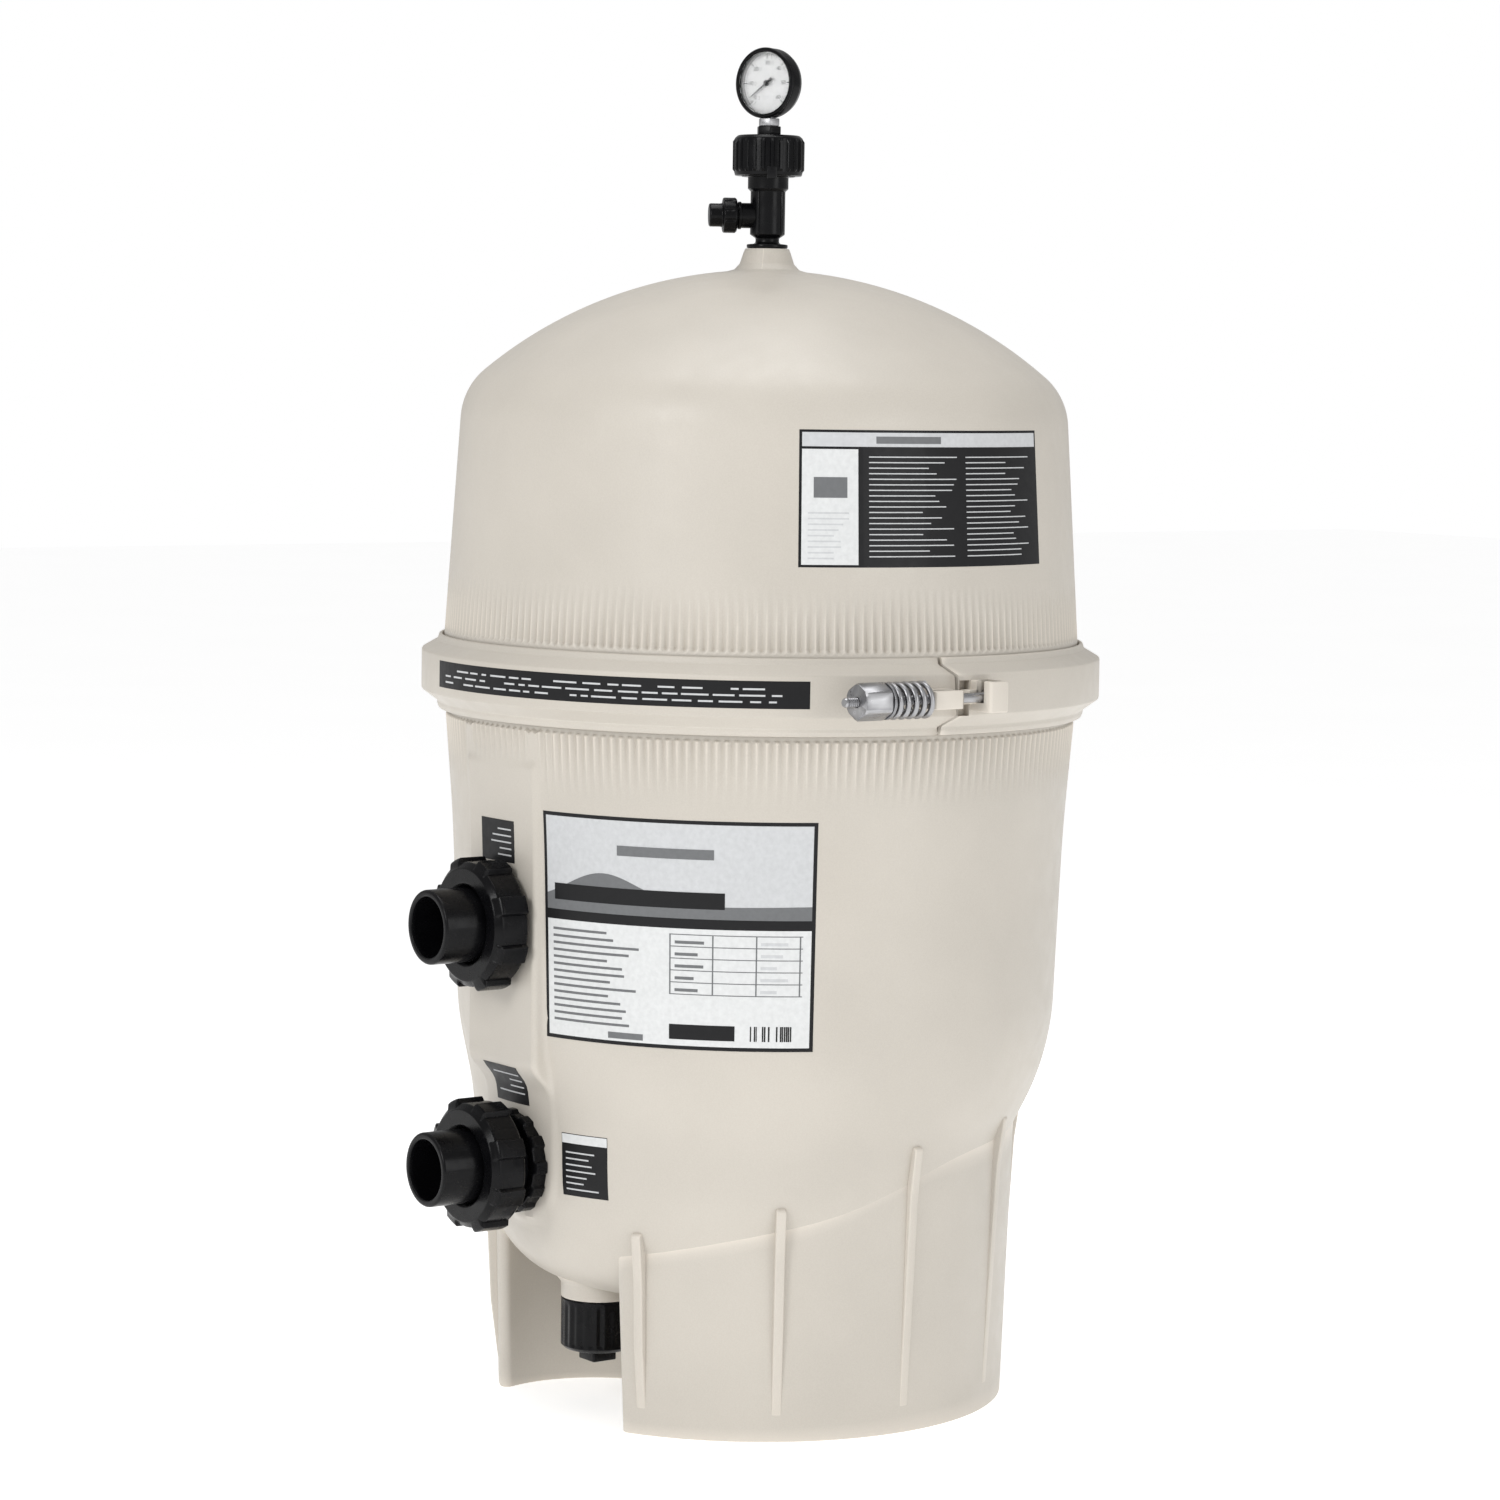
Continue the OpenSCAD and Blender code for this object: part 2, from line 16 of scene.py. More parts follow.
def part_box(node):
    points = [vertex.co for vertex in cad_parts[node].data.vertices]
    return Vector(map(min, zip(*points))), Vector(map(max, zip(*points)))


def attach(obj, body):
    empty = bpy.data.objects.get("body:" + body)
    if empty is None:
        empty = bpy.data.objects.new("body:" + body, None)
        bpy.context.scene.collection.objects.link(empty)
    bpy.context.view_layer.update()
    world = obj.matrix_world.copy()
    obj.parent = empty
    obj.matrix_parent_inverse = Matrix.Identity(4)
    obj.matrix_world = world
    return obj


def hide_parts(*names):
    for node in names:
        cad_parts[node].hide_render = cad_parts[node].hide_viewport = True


MM = 0.001
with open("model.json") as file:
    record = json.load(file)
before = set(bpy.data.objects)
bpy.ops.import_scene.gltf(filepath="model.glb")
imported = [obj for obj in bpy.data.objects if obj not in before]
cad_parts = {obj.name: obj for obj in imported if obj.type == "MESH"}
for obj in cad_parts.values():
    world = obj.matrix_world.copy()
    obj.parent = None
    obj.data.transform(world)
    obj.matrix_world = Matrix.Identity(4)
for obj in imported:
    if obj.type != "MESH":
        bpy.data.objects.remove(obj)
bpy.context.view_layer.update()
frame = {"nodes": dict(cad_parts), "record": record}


def low(node):
    """Lowest corner of a CAD node, in millimetres."""
    return np.array(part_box(node)[0]) / MM


def high(node):
    """Highest corner of a CAD node, in millimetres."""
    return np.array(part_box(node)[1]) / MM


# ---- Driving sizes, read from the frame where it holds them ----

SPLIT_Z = high("tank_lower")[2]
FLANGE_R = high("tank_lid")[0]
BOSS_TOP = high("tank_lid")[2]
CLAMP_LOW = low("clamp_right")[2]
CLAMP_HIGH = high("clamp_left")[2]
CLAMP_R = -low("clamp_left")[0]
INLET_Z = (low("inlet_union_tail")[2] + high("inlet_union_tail")[2]) / 2
OUTLET_Z = (low("outlet_union_tail")[2] + high("outlet_union_tail")[2]) / 2
MOUTH_X = -low("inlet_union_tail")[0]
PAD_X = -high("inlet_lock_nut")[0]
OUTLET_PAD_X = -high("outlet_lock_nut")[0]
NUT_IN = -high("inlet_union_nut")[0]
NUT_OUT = -low("inlet_union_nut")[0]
DRAIN_X = -(low("drain_cap")[0] + high("drain_cap")[0]) / 2
DRAIN_R = (high("drain_cap")[0] - low("drain_cap")[0]) / 2
GAUGE_Z = (low("gauge_bezel")[2] + high("gauge_bezel")[2]) / 2
GAUGE_R = (high("gauge_bezel")[2] - low("gauge_bezel")[2]) / 2
RING_Z1 = high("lock_ring")[2]
WALL = 7.0

# The lower tank: a bowl under a flared wall
SHOULDER_Z = 345.0
SHOULDER_R = 220.0
SHOULDER_X = 30.5
WAIST_R = SHOULDER_X + SHOULDER_R
WAIST_SLOPE = 0.035
FLARE_Z = 480.0
FLARE_SLOPE = 0.046
LOWER_R = 262.3

# The lid's wall leans in from LID_R at the clamp
LID_R = 264.0
LID_SLOPE = 0.0654
CROWN_R = 360.0
CROWN_TOP = 937.4
KNUCKLE_R = 56.0

# Base skirt
SKIRT_R0 = 212.3
SKIRT_R1 = 219.5
SKIRT_T = 6.0
SKIRT_TOP = 240.0
SKIRT_SINK = 2.4
SKIRT_CORNER = 6.0
NOTCH_R = 91.0
RIB_COUNT = 12


# ---- Mesh helpers ----

def axes(origin, along, up=(0, 0, 1)):
    """A 4x4 that takes local Z to `along` and local X to `up`, at `origin`."""
    z = np.array(along, float) / np.linalg.norm(along)
    x = np.array(up, float) - np.dot(up, z) * z
    x /= np.linalg.norm(x)
    m = np.eye(4)
    m[:3, 0], m[:3, 1], m[:3, 2], m[:3, 3] = x, np.cross(z, x), z, origin
    return m


def placed(points, at):
    """Local points moved into the frame by the 4x4 `at`."""
    points = np.asarray(points, float).reshape(-1, 3)
    return points if at is None else points @ at[:3, :3].T + at[:3, 3]


def piece(name, points, faces, look, body, nodes=(), at=None, crease=32.0, looks=None, face_looks=None):
    """A mesh piece: welded, normals outwards, smooth up to `crease` degrees, riding on `body`."""
    mesh = bpy.data.meshes.new(name)
    mesh.from_pydata((placed(points, at) * MM).tolist(), [], faces)
    if face_looks is not None:
        mesh.polygons.foreach_set("material_index", face_looks)
    bm = bmesh.new()
    bm.from_mesh(mesh)
    bmesh.ops.remove_doubles(bm, verts=bm.verts, dist=1e-6)
    bmesh.ops.dissolve_degenerate(bm, edges=bm.edges, dist=1e-7)
    bmesh.ops.recalc_face_normals(bm, faces=bm.faces)
    bm.to_mesh(mesh)
    bm.free()
    mesh.shade_smooth()
    mesh.set_sharp_from_angle(angle=math.radians(crease))
    obj = bpy.data.objects.new(name, mesh)
    bpy.context.scene.collection.objects.link(obj)
    for m in looks or [look]:
        mesh.materials.append(m)
    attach(obj, body)
    if nodes:
        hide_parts(*nodes)
    return obj


def grid_faces(rows, cols, wrap=True, base=0):
    """Quads of a grid of rows x cols points, closed round its columns when wrap is true."""
    c = np.arange(cols if wrap else cols - 1)
    n = (c + 1) % cols
    r = np.arange(rows - 1)[:, None] * cols + base
    return np.stack([r + c, r + n, r + cols + n, r + cols + c], -1).reshape(-1, 4).tolist()


def arc(cx, cy, r, a0, a1, n):
    """n + 1 points of an arc, with angles in degrees."""
    a = np.radians(np.linspace(a0, a1, n + 1))
    return np.stack([cx + r * np.cos(a), cy + r * np.sin(a)], 1).tolist()


def rounded(corners, radius=1.0, closed=True, steps=4):
    """An outline with its corners filleted. A corner is (x, y) or (x, y, its own radius)."""
    out = []
    n = len(corners)
    for i, corner in enumerate(corners):
        p = np.array(corner[:2], float)
        want = corner[2] if len(corner) > 2 else radius
        if want <= 0 or (not closed and i in (0, n - 1)):
            out.append(p)
            continue
        a = np.array(corners[i - 1][:2], float) - p
        b = np.array(corners[(i + 1) % n][:2], float) - p
        la, lb = np.linalg.norm(a), np.linalg.norm(b)
        a, b = a / la, b / lb
        half = math.acos(max(-1.0, min(1.0, float(a @ b)))) / 2
        if half > math.radians(88) or half < math.radians(2):
            out.append(p)
            continue
        reach = min(want / math.tan(half), 0.48 * la, 0.48 * lb)
        r = reach * math.tan(half)
        centre = p + (a + b) / np.linalg.norm(a + b) * (r / math.sin(half))
        s, e = p + a * reach - centre, p + b * reach - centre
        turn = math.atan2(s[0] * e[1] - s[1] * e[0], float(s @ e))
        for k in range(steps + 1):
            t = turn * k / steps
            out.append(centre + [s[0] * math.cos(t) - s[1] * math.sin(t),
                                 s[0] * math.sin(t) + s[1] * math.cos(t)])
    return np.array(out)


def turned(name, profile, look, body, nodes=(), at=None, columns=96, swell=None, closed=True, crease=32.0,
           angles=None):
    """A shape turned about local Z from a profile of (r, z). swell(theta, r, z) adds to the radius.
    A closed profile makes a ring; an open one starts and ends on the axis."""
    profile = np.asarray(profile, float)
    if closed:
        profile = np.vstack([profile, profile[:1]])
    theta = np.linspace(0, 2 * math.pi, columns, endpoint=False) if angles is None else angles
    r, z = profile[:, 0][:, None], profile[:, 1][:, None]
    radius = np.repeat(r, len(theta), 1)
    if swell:
        radius = radius + swell(theta[None, :], r, z)
    points = np.stack([radius * np.cos(theta), radius * np.sin(theta), z + 0 * radius], -1)
    return piece(name, points, grid_faces(len(profile), len(theta)), look, body, nodes, at, crease)


def prism_data(outline, z0, z1, bevel, steps=2):
    """Points and faces of an extruded outline with bevelled edges."""
    bm = bmesh.new()
    bottom = [bm.verts.new((x, y, z0)) for x, y in outline]
    face = bm.faces.new(bottom)
    made = bmesh.ops.extrude_face_region(bm, geom=[face])
    top = [v for v in made["geom"] if isinstance(v, bmesh.types.BMVert)]
    bmesh.ops.translate(bm, verts=top, vec=(0, 0, z1 - z0))
    bmesh.ops.recalc_face_normals(bm, faces=bm.faces)
    if bevel > 0:
        sharp = [e for e in bm.edges if e.calc_face_angle(0) > math.radians(25)]
        bmesh.ops.bevel(bm, geom=sharp, offset=bevel, segments=steps, profile=0.5, affect="EDGES")
    bm.verts.index_update()
    points = [tuple(v.co) for v in bm.verts]
    faces = [[v.index for v in f.verts] for f in bm.faces]
    bm.free()
    return points, faces


def joined(parts):
    """One list of points and faces from several (points, faces)."""
    points, faces = [], []
    for p, f in parts:
        base = len(points)
        points.extend([tuple(q) for q in p])
        faces.extend([[i + base for i in face] for face in f])
    return points, faces


def polygon(n, r, turn=0.0):
    """Corners of a regular polygon."""
    return [(r * math.cos(turn + 2 * math.pi * k / n),
             r * math.sin(turn + 2 * math.pi * k / n)) for k in range(n)]


def block(x0, x1, y0, y1):
    """Corners of a rectangle."""
    return [(x0, y0), (x1, y0), (x1, y1), (x0, y1)]


def smooth(edge0, edge1, x):
    """A smooth step from 0 at edge0 to 1 at edge1."""
    t = np.clip((x - edge0) / (edge1 - edge0), 0, 1)
    return t * t * (3 - 2 * t)


# ---- Materials ----


class Look:
    """A procedural material, built up with a few short calls."""

    def __init__(self, name, slot, base, rough, metallic=0.0, coat=0.0, sheen=0.0, transmission=0.0):
        self.mat = bpy.data.materials.new(name)
        self.mat.use_nodes = True
        self.tree = self.mat.node_tree
        self.shader = self.tree.nodes["Principled BSDF"]
        self.base = base
        self.set("Base Color", (*base, 1))
        self.set("Roughness", rough)
        self.set("Metallic", metallic)
        self.set("Coat Weight", coat)
        self.set("Sheen Weight", sheen)
        self.set("Transmission Weight", transmission)
        self.where = self.node("ShaderNodeTexCoord").outputs["Object"]

    def set(self, socket, value):
        self.shader.inputs[socket].default_value = value

    def node(self, kind, **inputs):
        made = self.tree.nodes.new(kind)
        for key, value in inputs.items():
            made.inputs[key.replace("_", " ")].default_value = value
        return made

    def link(self, a, b):
        self.tree.links.new(a, b)

    def noise(self, scale, detail=3.0, stretch=(1, 1, 1)):
        """Noise of that many features a metre."""
        mapping = self.node("ShaderNodeMapping")
        mapping.inputs["Scale"].default_value = stretch
        self.link(self.where, mapping.inputs["Vector"])
        made = self.node("ShaderNodeTexNoise", Scale=scale, Detail=detail)
        self.link(mapping.outputs["Vector"], made.inputs["Vector"])
        return made.outputs["Fac"]

    def ramp(self, source, stops):
        """A colour ramp; a stop is (position, colour) or (position, value)."""
        made = self.node("ShaderNodeValToRGB")
        while len(made.color_ramp.elements) < len(stops):
            made.color_ramp.elements.new(0.5)
        for element, (at, value) in zip(made.color_ramp.elements, stops):
            element.position = at
            element.color = (*value, 1) if isinstance(value, tuple) else (value, value, value, 1)
        self.link(source, made.inputs["Fac"])
        return made.outputs["Color"]

    def mix(self, factor, a, b, kind="MIX"):
        """Two colours mixed; each is a socket or a colour."""
        made = self.tree.nodes.new("ShaderNodeMix")
        made.data_type = "RGBA"
        made.blend_type = kind
        for socket, value in ((made.inputs["Factor"], factor), (made.inputs["A"], a),
                              (made.inputs["B"], b)):
            socket = [s for s in made.inputs if s.name == socket.name and s.enabled][0]
            if isinstance(value, bpy.types.NodeSocket):
                self.link(value, socket)
            elif isinstance(value, tuple):
                socket.default_value = (*value, 1)
            else:
                socket.default_value = value
        return [o for o in made.outputs if o.enabled][0]

    def tint(self, amount, scale, detail=3.0, stretch=(1, 1, 1)):
        """Colour that varies by +-amount about the base."""
        dark = tuple(c * (1 - amount) for c in self.base)
        light = tuple(min(1.0, c * (1 + amount)) for c in self.base)
        return self.ramp(self.noise(scale, detail, stretch), [(0.3, dark), (0.7, light)])

    def edges(self, colour, painted_highlight, strength=0.6):
        """Painted highlight: edges made lighter, where the surface is convex."""
        point = self.node("ShaderNodeNewGeometry").outputs["Pointiness"]
        mask = self.ramp(point, [(0.515, 0.0), (0.56, strength)])
        return self.mix(mask, colour, painted_highlight)

    def hollows(self, colour, painted_shade, strength=0.5):
        """Painted shade: colour made darker where the surface is concave."""
        point = self.node("ShaderNodeNewGeometry").outputs["Pointiness"]
        mask = self.ramp(point, [(0.42, strength), (0.492, 0.0)])
        return self.mix(mask, colour, painted_shade)

    def rough(self, lo, hi, scale, stretch=(1, 1, 1)):
        self.link(self.ramp(self.noise(scale, 4.0, stretch), [(0.3, lo), (0.7, hi)]),
                  self.shader.inputs["Roughness"])

    def bump(self, height, distance, strength=0.5):
        """Bump of that many millimetres, on top of any that is there."""
        made = self.node("ShaderNodeBump", Strength=strength, Distance=distance * MM)
        self.link(height, made.inputs["Height"])
        socket = self.shader.inputs["Normal"]
        if socket.links:
            self.link(socket.links[0].from_socket, made.inputs["Normal"])
        self.link(made.outputs["Normal"], socket)

    def done(self, colour=None):
        if colour is not None:
            self.link(colour, self.shader.inputs["Base Color"])
        return self.mat


def almond_plastic():
    """Satin almond moulding: a fine pebbled skin, slow colour drift, painted highlights on the edges,
    painted shade in the corners.
    """
    look = Look("almond_plastic", "almond_shell", (0.548, 0.510, 0.452), 0.42)
    colour = look.tint(0.035, 9.0)
    colour = look.mix(0.10, colour, look.ramp(look.noise(900.0, 2.0), [(0.35, 0.42), (0.65, 0.68)]),
                      "OVERLAY")
    # Painted highlight: lighter colour on the convex edges.
    colour = look.edges(colour, (0.80, 0.735, 0.65), 0.55)
    # Painted shade: darker colour in the concave corners.
    colour = look.hollows(colour, (0.36, 0.31, 0.25), 0.45)
    look.rough(0.36, 0.50, 60.0)
    look.set("Specular IOR Level", 0.45)
    look.bump(look.noise(1400.0, 2.0), 0.12, 0.35)
    look.bump(look.noise(22.0, 2.0), 1.2, 0.10)
    return look.done(colour)


def black_pvc():
    """Glossy moulded PVC with faint flow marks and edges greyed by a painted highlight."""
    look = Look("black_pvc_gloss", "black_pvc", (0.0030, 0.0030, 0.0036), 0.24)
    colour = look.tint(0.25, 40.0)
    # Painted highlight: lighter grey on the convex edges.
    colour = look.edges(colour, (0.012, 0.012, 0.013), 0.6)
    look.set("Specular IOR Level", 0.15)
    look.rough(0.17, 0.34, 90.0)
    look.bump(look.noise(700.0, 3.0), 0.06, 0.35)
    look.bump(look.noise(45.0, 2.0), 0.5, 0.12)
    return look.done(colour)


def zinc():
    """Zinc-plated steel with fine drawn lines and dull patches."""
    look = Look("zinc_plate", "zinc_steel", (0.20, 0.20, 0.21), 0.30, metallic=1.0)
    colour = look.tint(0.16, 120.0, 4.0)
    # Painted highlight: lighter colour on the convex edges.
    colour = look.edges(colour, (0.60, 0.60, 0.61), 0.5)
    # Painted shade: near-black colour in the concave crevices.
    colour = look.hollows(colour, (0.030, 0.030, 0.032), 0.8)
    look.rough(0.22, 0.46, 200.0, (0.2, 1, 1))
    look.bump(look.noise(1600.0, 2.0, (0.15, 1, 1)), 0.05, 0.4)
    return look.done(colour)


def rubber():
    """Matt black rubber."""
    look = Look("seal_rubber", "black_rubber", (0.022, 0.022, 0.022), 0.72)
    colour = look.tint(0.3, 150.0)
    look.rough(0.6, 0.85, 120.0)
    look.bump(look.noise(1800.0, 2.0), 0.08, 0.4)
    return look.done(colour)


def fabric():
    """Spun polyester: pale, fibrous, with a soft sheen."""
    look = Look("pleat_fabric", "filter_fabric", (0.80, 0.79, 0.73), 0.85, sheen=0.3)
    fibres = look.noise(2600.0, 5.0, (1, 1, 0.25))
    colour = look.mix(0.35, look.tint(0.05, 30.0), look.ramp(fibres, [(0.3, 0.55), (0.7, 0.92)]),
                      "MULTIPLY")
    look.bump(fibres, 0.2, 0.5)
    look.bump(look.noise(500.0, 3.0), 0.4, 0.3)
    return look.done(colour)


def cap_plastic():
    """Blue-grey cast end caps, satin and slightly mottled."""
    look = Look("cap_blue", "cartridge_blue", (0.055, 0.120, 0.205), 0.45)
    colour = look.tint(0.12, 60.0)
    # Painted highlight: lighter blue on the convex edges.
    colour = look.edges(colour, (0.16, 0.25, 0.35), 0.6)
    look.rough(0.38, 0.6, 150.0)
    look.bump(look.noise(900.0, 3.0), 0.12, 0.4)
    return look.done(colour)


def printed(name, colour, slot="label_print", rough=0.34):
    """Printed film or enamel: one ink with a faint mottle under a thin gloss."""
    look = Look(name, slot, colour, rough + 0.10, coat=0.05)
    look.set("Specular IOR Level", 0.16)
    tone = look.tint(0.05, 260.0, 4.0)
    look.rough(rough + 0.02, rough + 0.16, 140.0)
    look.bump(look.noise(420.0, 3.0), 0.04, 0.4)
    look.bump(look.noise(18.0, 2.0), 0.5, 0.08)
    return look.done(tone)


def glass():
    """The gauge's clear window."""
    look = Look("gauge_window", "gauge_glass", (0.97, 0.98, 1.0), 0.03, transmission=1.0)
    look.set("IOR", 1.45)
    look.set("Alpha", 0.35)
    look.bump(look.noise(60.0, 2.0), 0.05, 0.1)
    return look.done()


ALMOND = almond_plastic()
PVC = black_pvc()
ZINC = zinc()
RUBBER = rubber()
FABRIC = fabric()
CAP_BLUE = cap_plastic()
GLASS = glass()
INK_BLACK = printed("ink_black", (0.012, 0.012, 0.013))
INK_WHITE = printed("film_white", (0.68, 0.69, 0.69))
INK_GREY = printed("film_grey", (0.56, 0.57, 0.58))
INK_DARK = printed("film_dark", (0.16, 0.165, 0.17))
DIAL_WHITE = printed("dial_enamel", (0.84, 0.84, 0.83), "dial_white", 0.4)


# ---- Lower tank ----

# The bulges that make the bowl slope to the drain: offset, radius, foot of the wall, edge radius
BULGES = ((40, 183.0, 168, 68), (25, 210.0, 206, 90), (12, 219.0, 226, 110))
LOWER_FLUTES = 208
LID_FLUTES = 216
FLUTE_DEPTH = 2.9
LOWER_FLUTE_FOOT = 515
PAD_FLUTE_RISE = 26
LOWER_FLUTE_TOP = 566
LID_FLUTE_FOOT = 634
LID_FLUTE_FADE = 638
PAD_HALF = 50.0
PAD_EDGE = 5.0
PAD_CENTRE = math.pi


def wall_radius(z):
    """Outer radius of the lower tank's wall: nearly upright, then flared towards the clamp."""
    flare = z - FLARE_Z
    return WAIST_R + WAIST_SLOPE * (z - SHOULDER_Z) + FLARE_SLOPE * 0.5 * (flare + np.sqrt(flare**2 + 24**2))


def blend_union(a, b, k):
    """The union of two distance fields, with a fillet about k wide where they meet."""
    h = np.clip(0.5 + 0.5 * (b - a) / k, 0, 1)
    return b + (a - b) * h - k * h * (1 - h)


def pad_face(z):
    """How far the ports' raised pad lies from the axis at height z."""
    slope = smooth(264, 298, z)
    lean = 0.03 * np.maximum(z - 455, 0)
    fade = 26 * smooth(536, 558, z)
    return OUTLET_PAD_X + (PAD_X - OUTLET_PAD_X) * slope + lean - fade


def tank_field(p):
    """Signed distance from the lower tank's outside, near enough: below zero inside."""
    x, y, z = p[..., 0], p[..., 1], p[..., 2]
    r = np.hypot(x, y)
    drop = np.maximum(SHOULDER_Z - z, 0)
    bowl = np.hypot(np.maximum(r - SHOULDER_X, 0), drop) - SHOULDER_R
    body = np.where(z < SHOULDER_Z, bowl, r - wall_radius(z))
    for offset, radius, foot, edge in BULGES:
        out = np.hypot(x + offset, y)
        under = np.hypot(np.maximum(out - (radius - edge), 0), foot - z) - edge
        body = blend_union(body, np.where(z < foot, under, out - radius), 16)
    side = np.hypot(y, np.minimum(z - OUTLET_Z, 0)) - (PAD_HALF - PAD_EDGE)
    front = -x - (pad_face(z) - PAD_EDGE)
    pad = np.hypot(np.maximum(side, 0), np.maximum(front, 0)) + np.minimum(np.maximum(side, front),
                                                                           0) - PAD_EDGE
    return blend_union(body, np.maximum(pad, x + 150), 5)


def cast(origin, direction, depth):
    """Where rays from inside the tank meet its skin, `depth` in from the outside."""
    near = np.full(direction.shape[:-1], 50.0)
    far = np.full(direction.shape[:-1], 340.0)
    for _ in range(22):
        middle = (near + far) / 2
        inside = tank_field(origin + direction * middle[..., None]) < -depth
        near = np.where(inside, middle, near)
        far = np.where(inside, far, middle)
    return origin + direction * near[..., None]


def flute(phase):
    """One flute's cross-section: 1 in the valley, 0 on the rib."""
    return (0.5 - 0.5 * np.cos(phase)) ** 0.8


def lower_flutes(theta, z):
    """How deep the flutes under the clamp are. They are shorter over the ports' pad."""
    across = np.abs(wall_radius(z) * np.sin(theta - PAD_CENTRE))
    near_pad = (np.cos(theta - PAD_CENTRE) > 0) * (1 - smooth(44, 50, across))
    start = LOWER_FLUTE_FOOT + PAD_FLUTE_RISE * near_pad
    fade = np.clip((z - start) / (LOWER_FLUTE_TOP - start), 0, 1)
    edge = (np.cos(theta - PAD_CENTRE) > 0) * smooth(38, 43, across) * (1 - smooth(51, 56, across))
    valley = flute(theta * LOWER_FLUTES)
    top = smooth(LOWER_FLUTE_TOP, LOWER_FLUTE_TOP + 3, z + 1.5 * valley)
    return FLUTE_DEPTH * np.maximum(fade * valley * (1 - edge), top)


def tank_angles():
    """Column angles: six to a flute, and three times finer across the pad."""
    count = LOWER_FLUTES * 6
    plain = np.arange(count) * 2 * math.pi / count
    near = np.abs(plain - PAD_CENTRE) < math.radians(15)
    edge = plain[near]
    step = 2 * math.pi / count
    fine = (edge[:, None] + step * np.array([0, 1 / 3, 2 / 3])).ravel()
    return np.sort(np.concatenate([plain[~near], fine]))


def tank_vessel():
    """The lower shell: bowl, sump, ports' pad, fluted wall, and the flange with its O-ring groove."""
    theta = tank_angles()
    ring = np.stack([np.cos(theta), np.sin(theta), 0 * theta], -1)
    centre = np.array([0, 0, SHOULDER_Z])
    up = np.array([0, 0, 1.0])

    def bowl(angles, depth):
        a = np.radians(angles)[:, None, None]
        return cast(centre, np.cos(a) * ring + np.sin(a) * up, depth)

    def wall(heights, depth):
        base = np.zeros((len(heights), len(theta), 3))
        base[..., 2] = np.asarray(heights)[:, None]
        return cast(base, np.broadcast_to(ring, base.shape), depth)

    heights = np.concatenate([np.arange(346, 504, 9), np.arange(504, 561, 2.4),
                              np.arange(561, 571.6, 0.9)])
    outer = wall(heights, 0)
    depth = lower_flutes(theta[None, :], heights[:, None])
    outer[..., :2] -= depth[..., None] * ring[None, :, :2]
    flange = rounded([(LOWER_R - FLUTE_DEPTH, 571.8, 0), (LOWER_R, 573.5), (LOWER_R - 1, 578, 2),
                      (FLANGE_R, 588),
                      (FLANGE_R, SPLIT_Z), (269.5, SPLIT_Z, 0.5), (269.5, SPLIT_Z - 5, 0.8),
                      (262.5, SPLIT_Z - 5, 0.8), (262.5, SPLIT_Z, 0.5), (LOWER_R - WALL, SPLIT_Z),
                      (LOWER_R - WALL, 566, 0)], 1.2, closed=False, steps=3)
    rim = flange[:, 0][:, None, None] * ring + flange[:, 1][:, None, None] * up
    inner = wall(np.arange(560, 345, -18.0), WALL)
    points = np.concatenate([bowl(np.linspace(-90, -0.8, 84), 0), outer, rim, inner,
                             bowl(np.linspace(-3, -90, 34), WALL)])
    piece("tank_vessel", points, grid_faces(len(points), len(theta)), ALMOND, "tank", ("tank_lower",))


def skirt_outline(z, inset):
    """The skirt's outline at height z: outer circle, round corners and the drain's recess."""
    r = SKIRT_R0 + (SKIRT_R1 - SKIRT_R0) * z / SKIRT_TOP
    corner = SKIRT_CORNER
    a, b = r - corner, NOTCH_R + corner
    cx = -(a * a + DRAIN_X**2 - b * b) / (2 * DRAIN_X)
    cy = math.sqrt(a * a - cx * cx)
    turn = math.degrees(math.atan2(cy, cx))
    into = math.degrees(math.atan2(-cy, -DRAIN_X - cx)) % 360
    outline = arc(0, 0, r, -turn, turn, 300)
    outline += arc(cx, cy, corner, turn, into, 12)[1:]
    outline += arc(-DRAIN_X, 0, NOTCH_R, into - 180, 180 - into, 56)[1:]
    outline += arc(cx, -cy, corner, 360 - into, 360 - turn, 12)[1:-1]
    outline = np.array(outline)
    along = np.roll(outline, -1, 0) - np.roll(outline, 1, 0)
    along /= np.linalg.norm(along, axis=1)[:, None]
    return outline - inset * np.stack([along[:, 1], -along[:, 0]], 1)


def skirt_between(z0, z1, z, inset):
    """The skirt's outline, each point at its own height z, from its outlines at z0 and z1."""
    foot = skirt_outline(z0, inset)
    return foot + (skirt_outline(z1, inset) - foot) * ((z - z0) / (z1 - z0))[:, None]


def skirt_rows(inset, count, upwards):
    """Rows of one face of the skirt, from the floor to where it enters the tank's wall."""
    low_z = np.full(len(skirt_outline(0, inset)), 60.0)
    high_z = low_z + 220
    for _ in range(16):
        middle = (low_z + high_z) / 2
        flat = skirt_between(SKIRT_TOP / 2, SKIRT_TOP, middle, inset)
        inside = tank_field(np.column_stack([flat, middle])) < -SKIRT_SINK
        high_z = np.where(inside, middle, high_z)
        low_z = np.where(inside, low_z, middle)
    rows = []
    for share in np.linspace(0, 1, count):
        z = high_z * share
        rows.append(np.column_stack([skirt_between(0, SKIRT_TOP, z, inset), z]))
    return rows if upwards else rows[::-1]


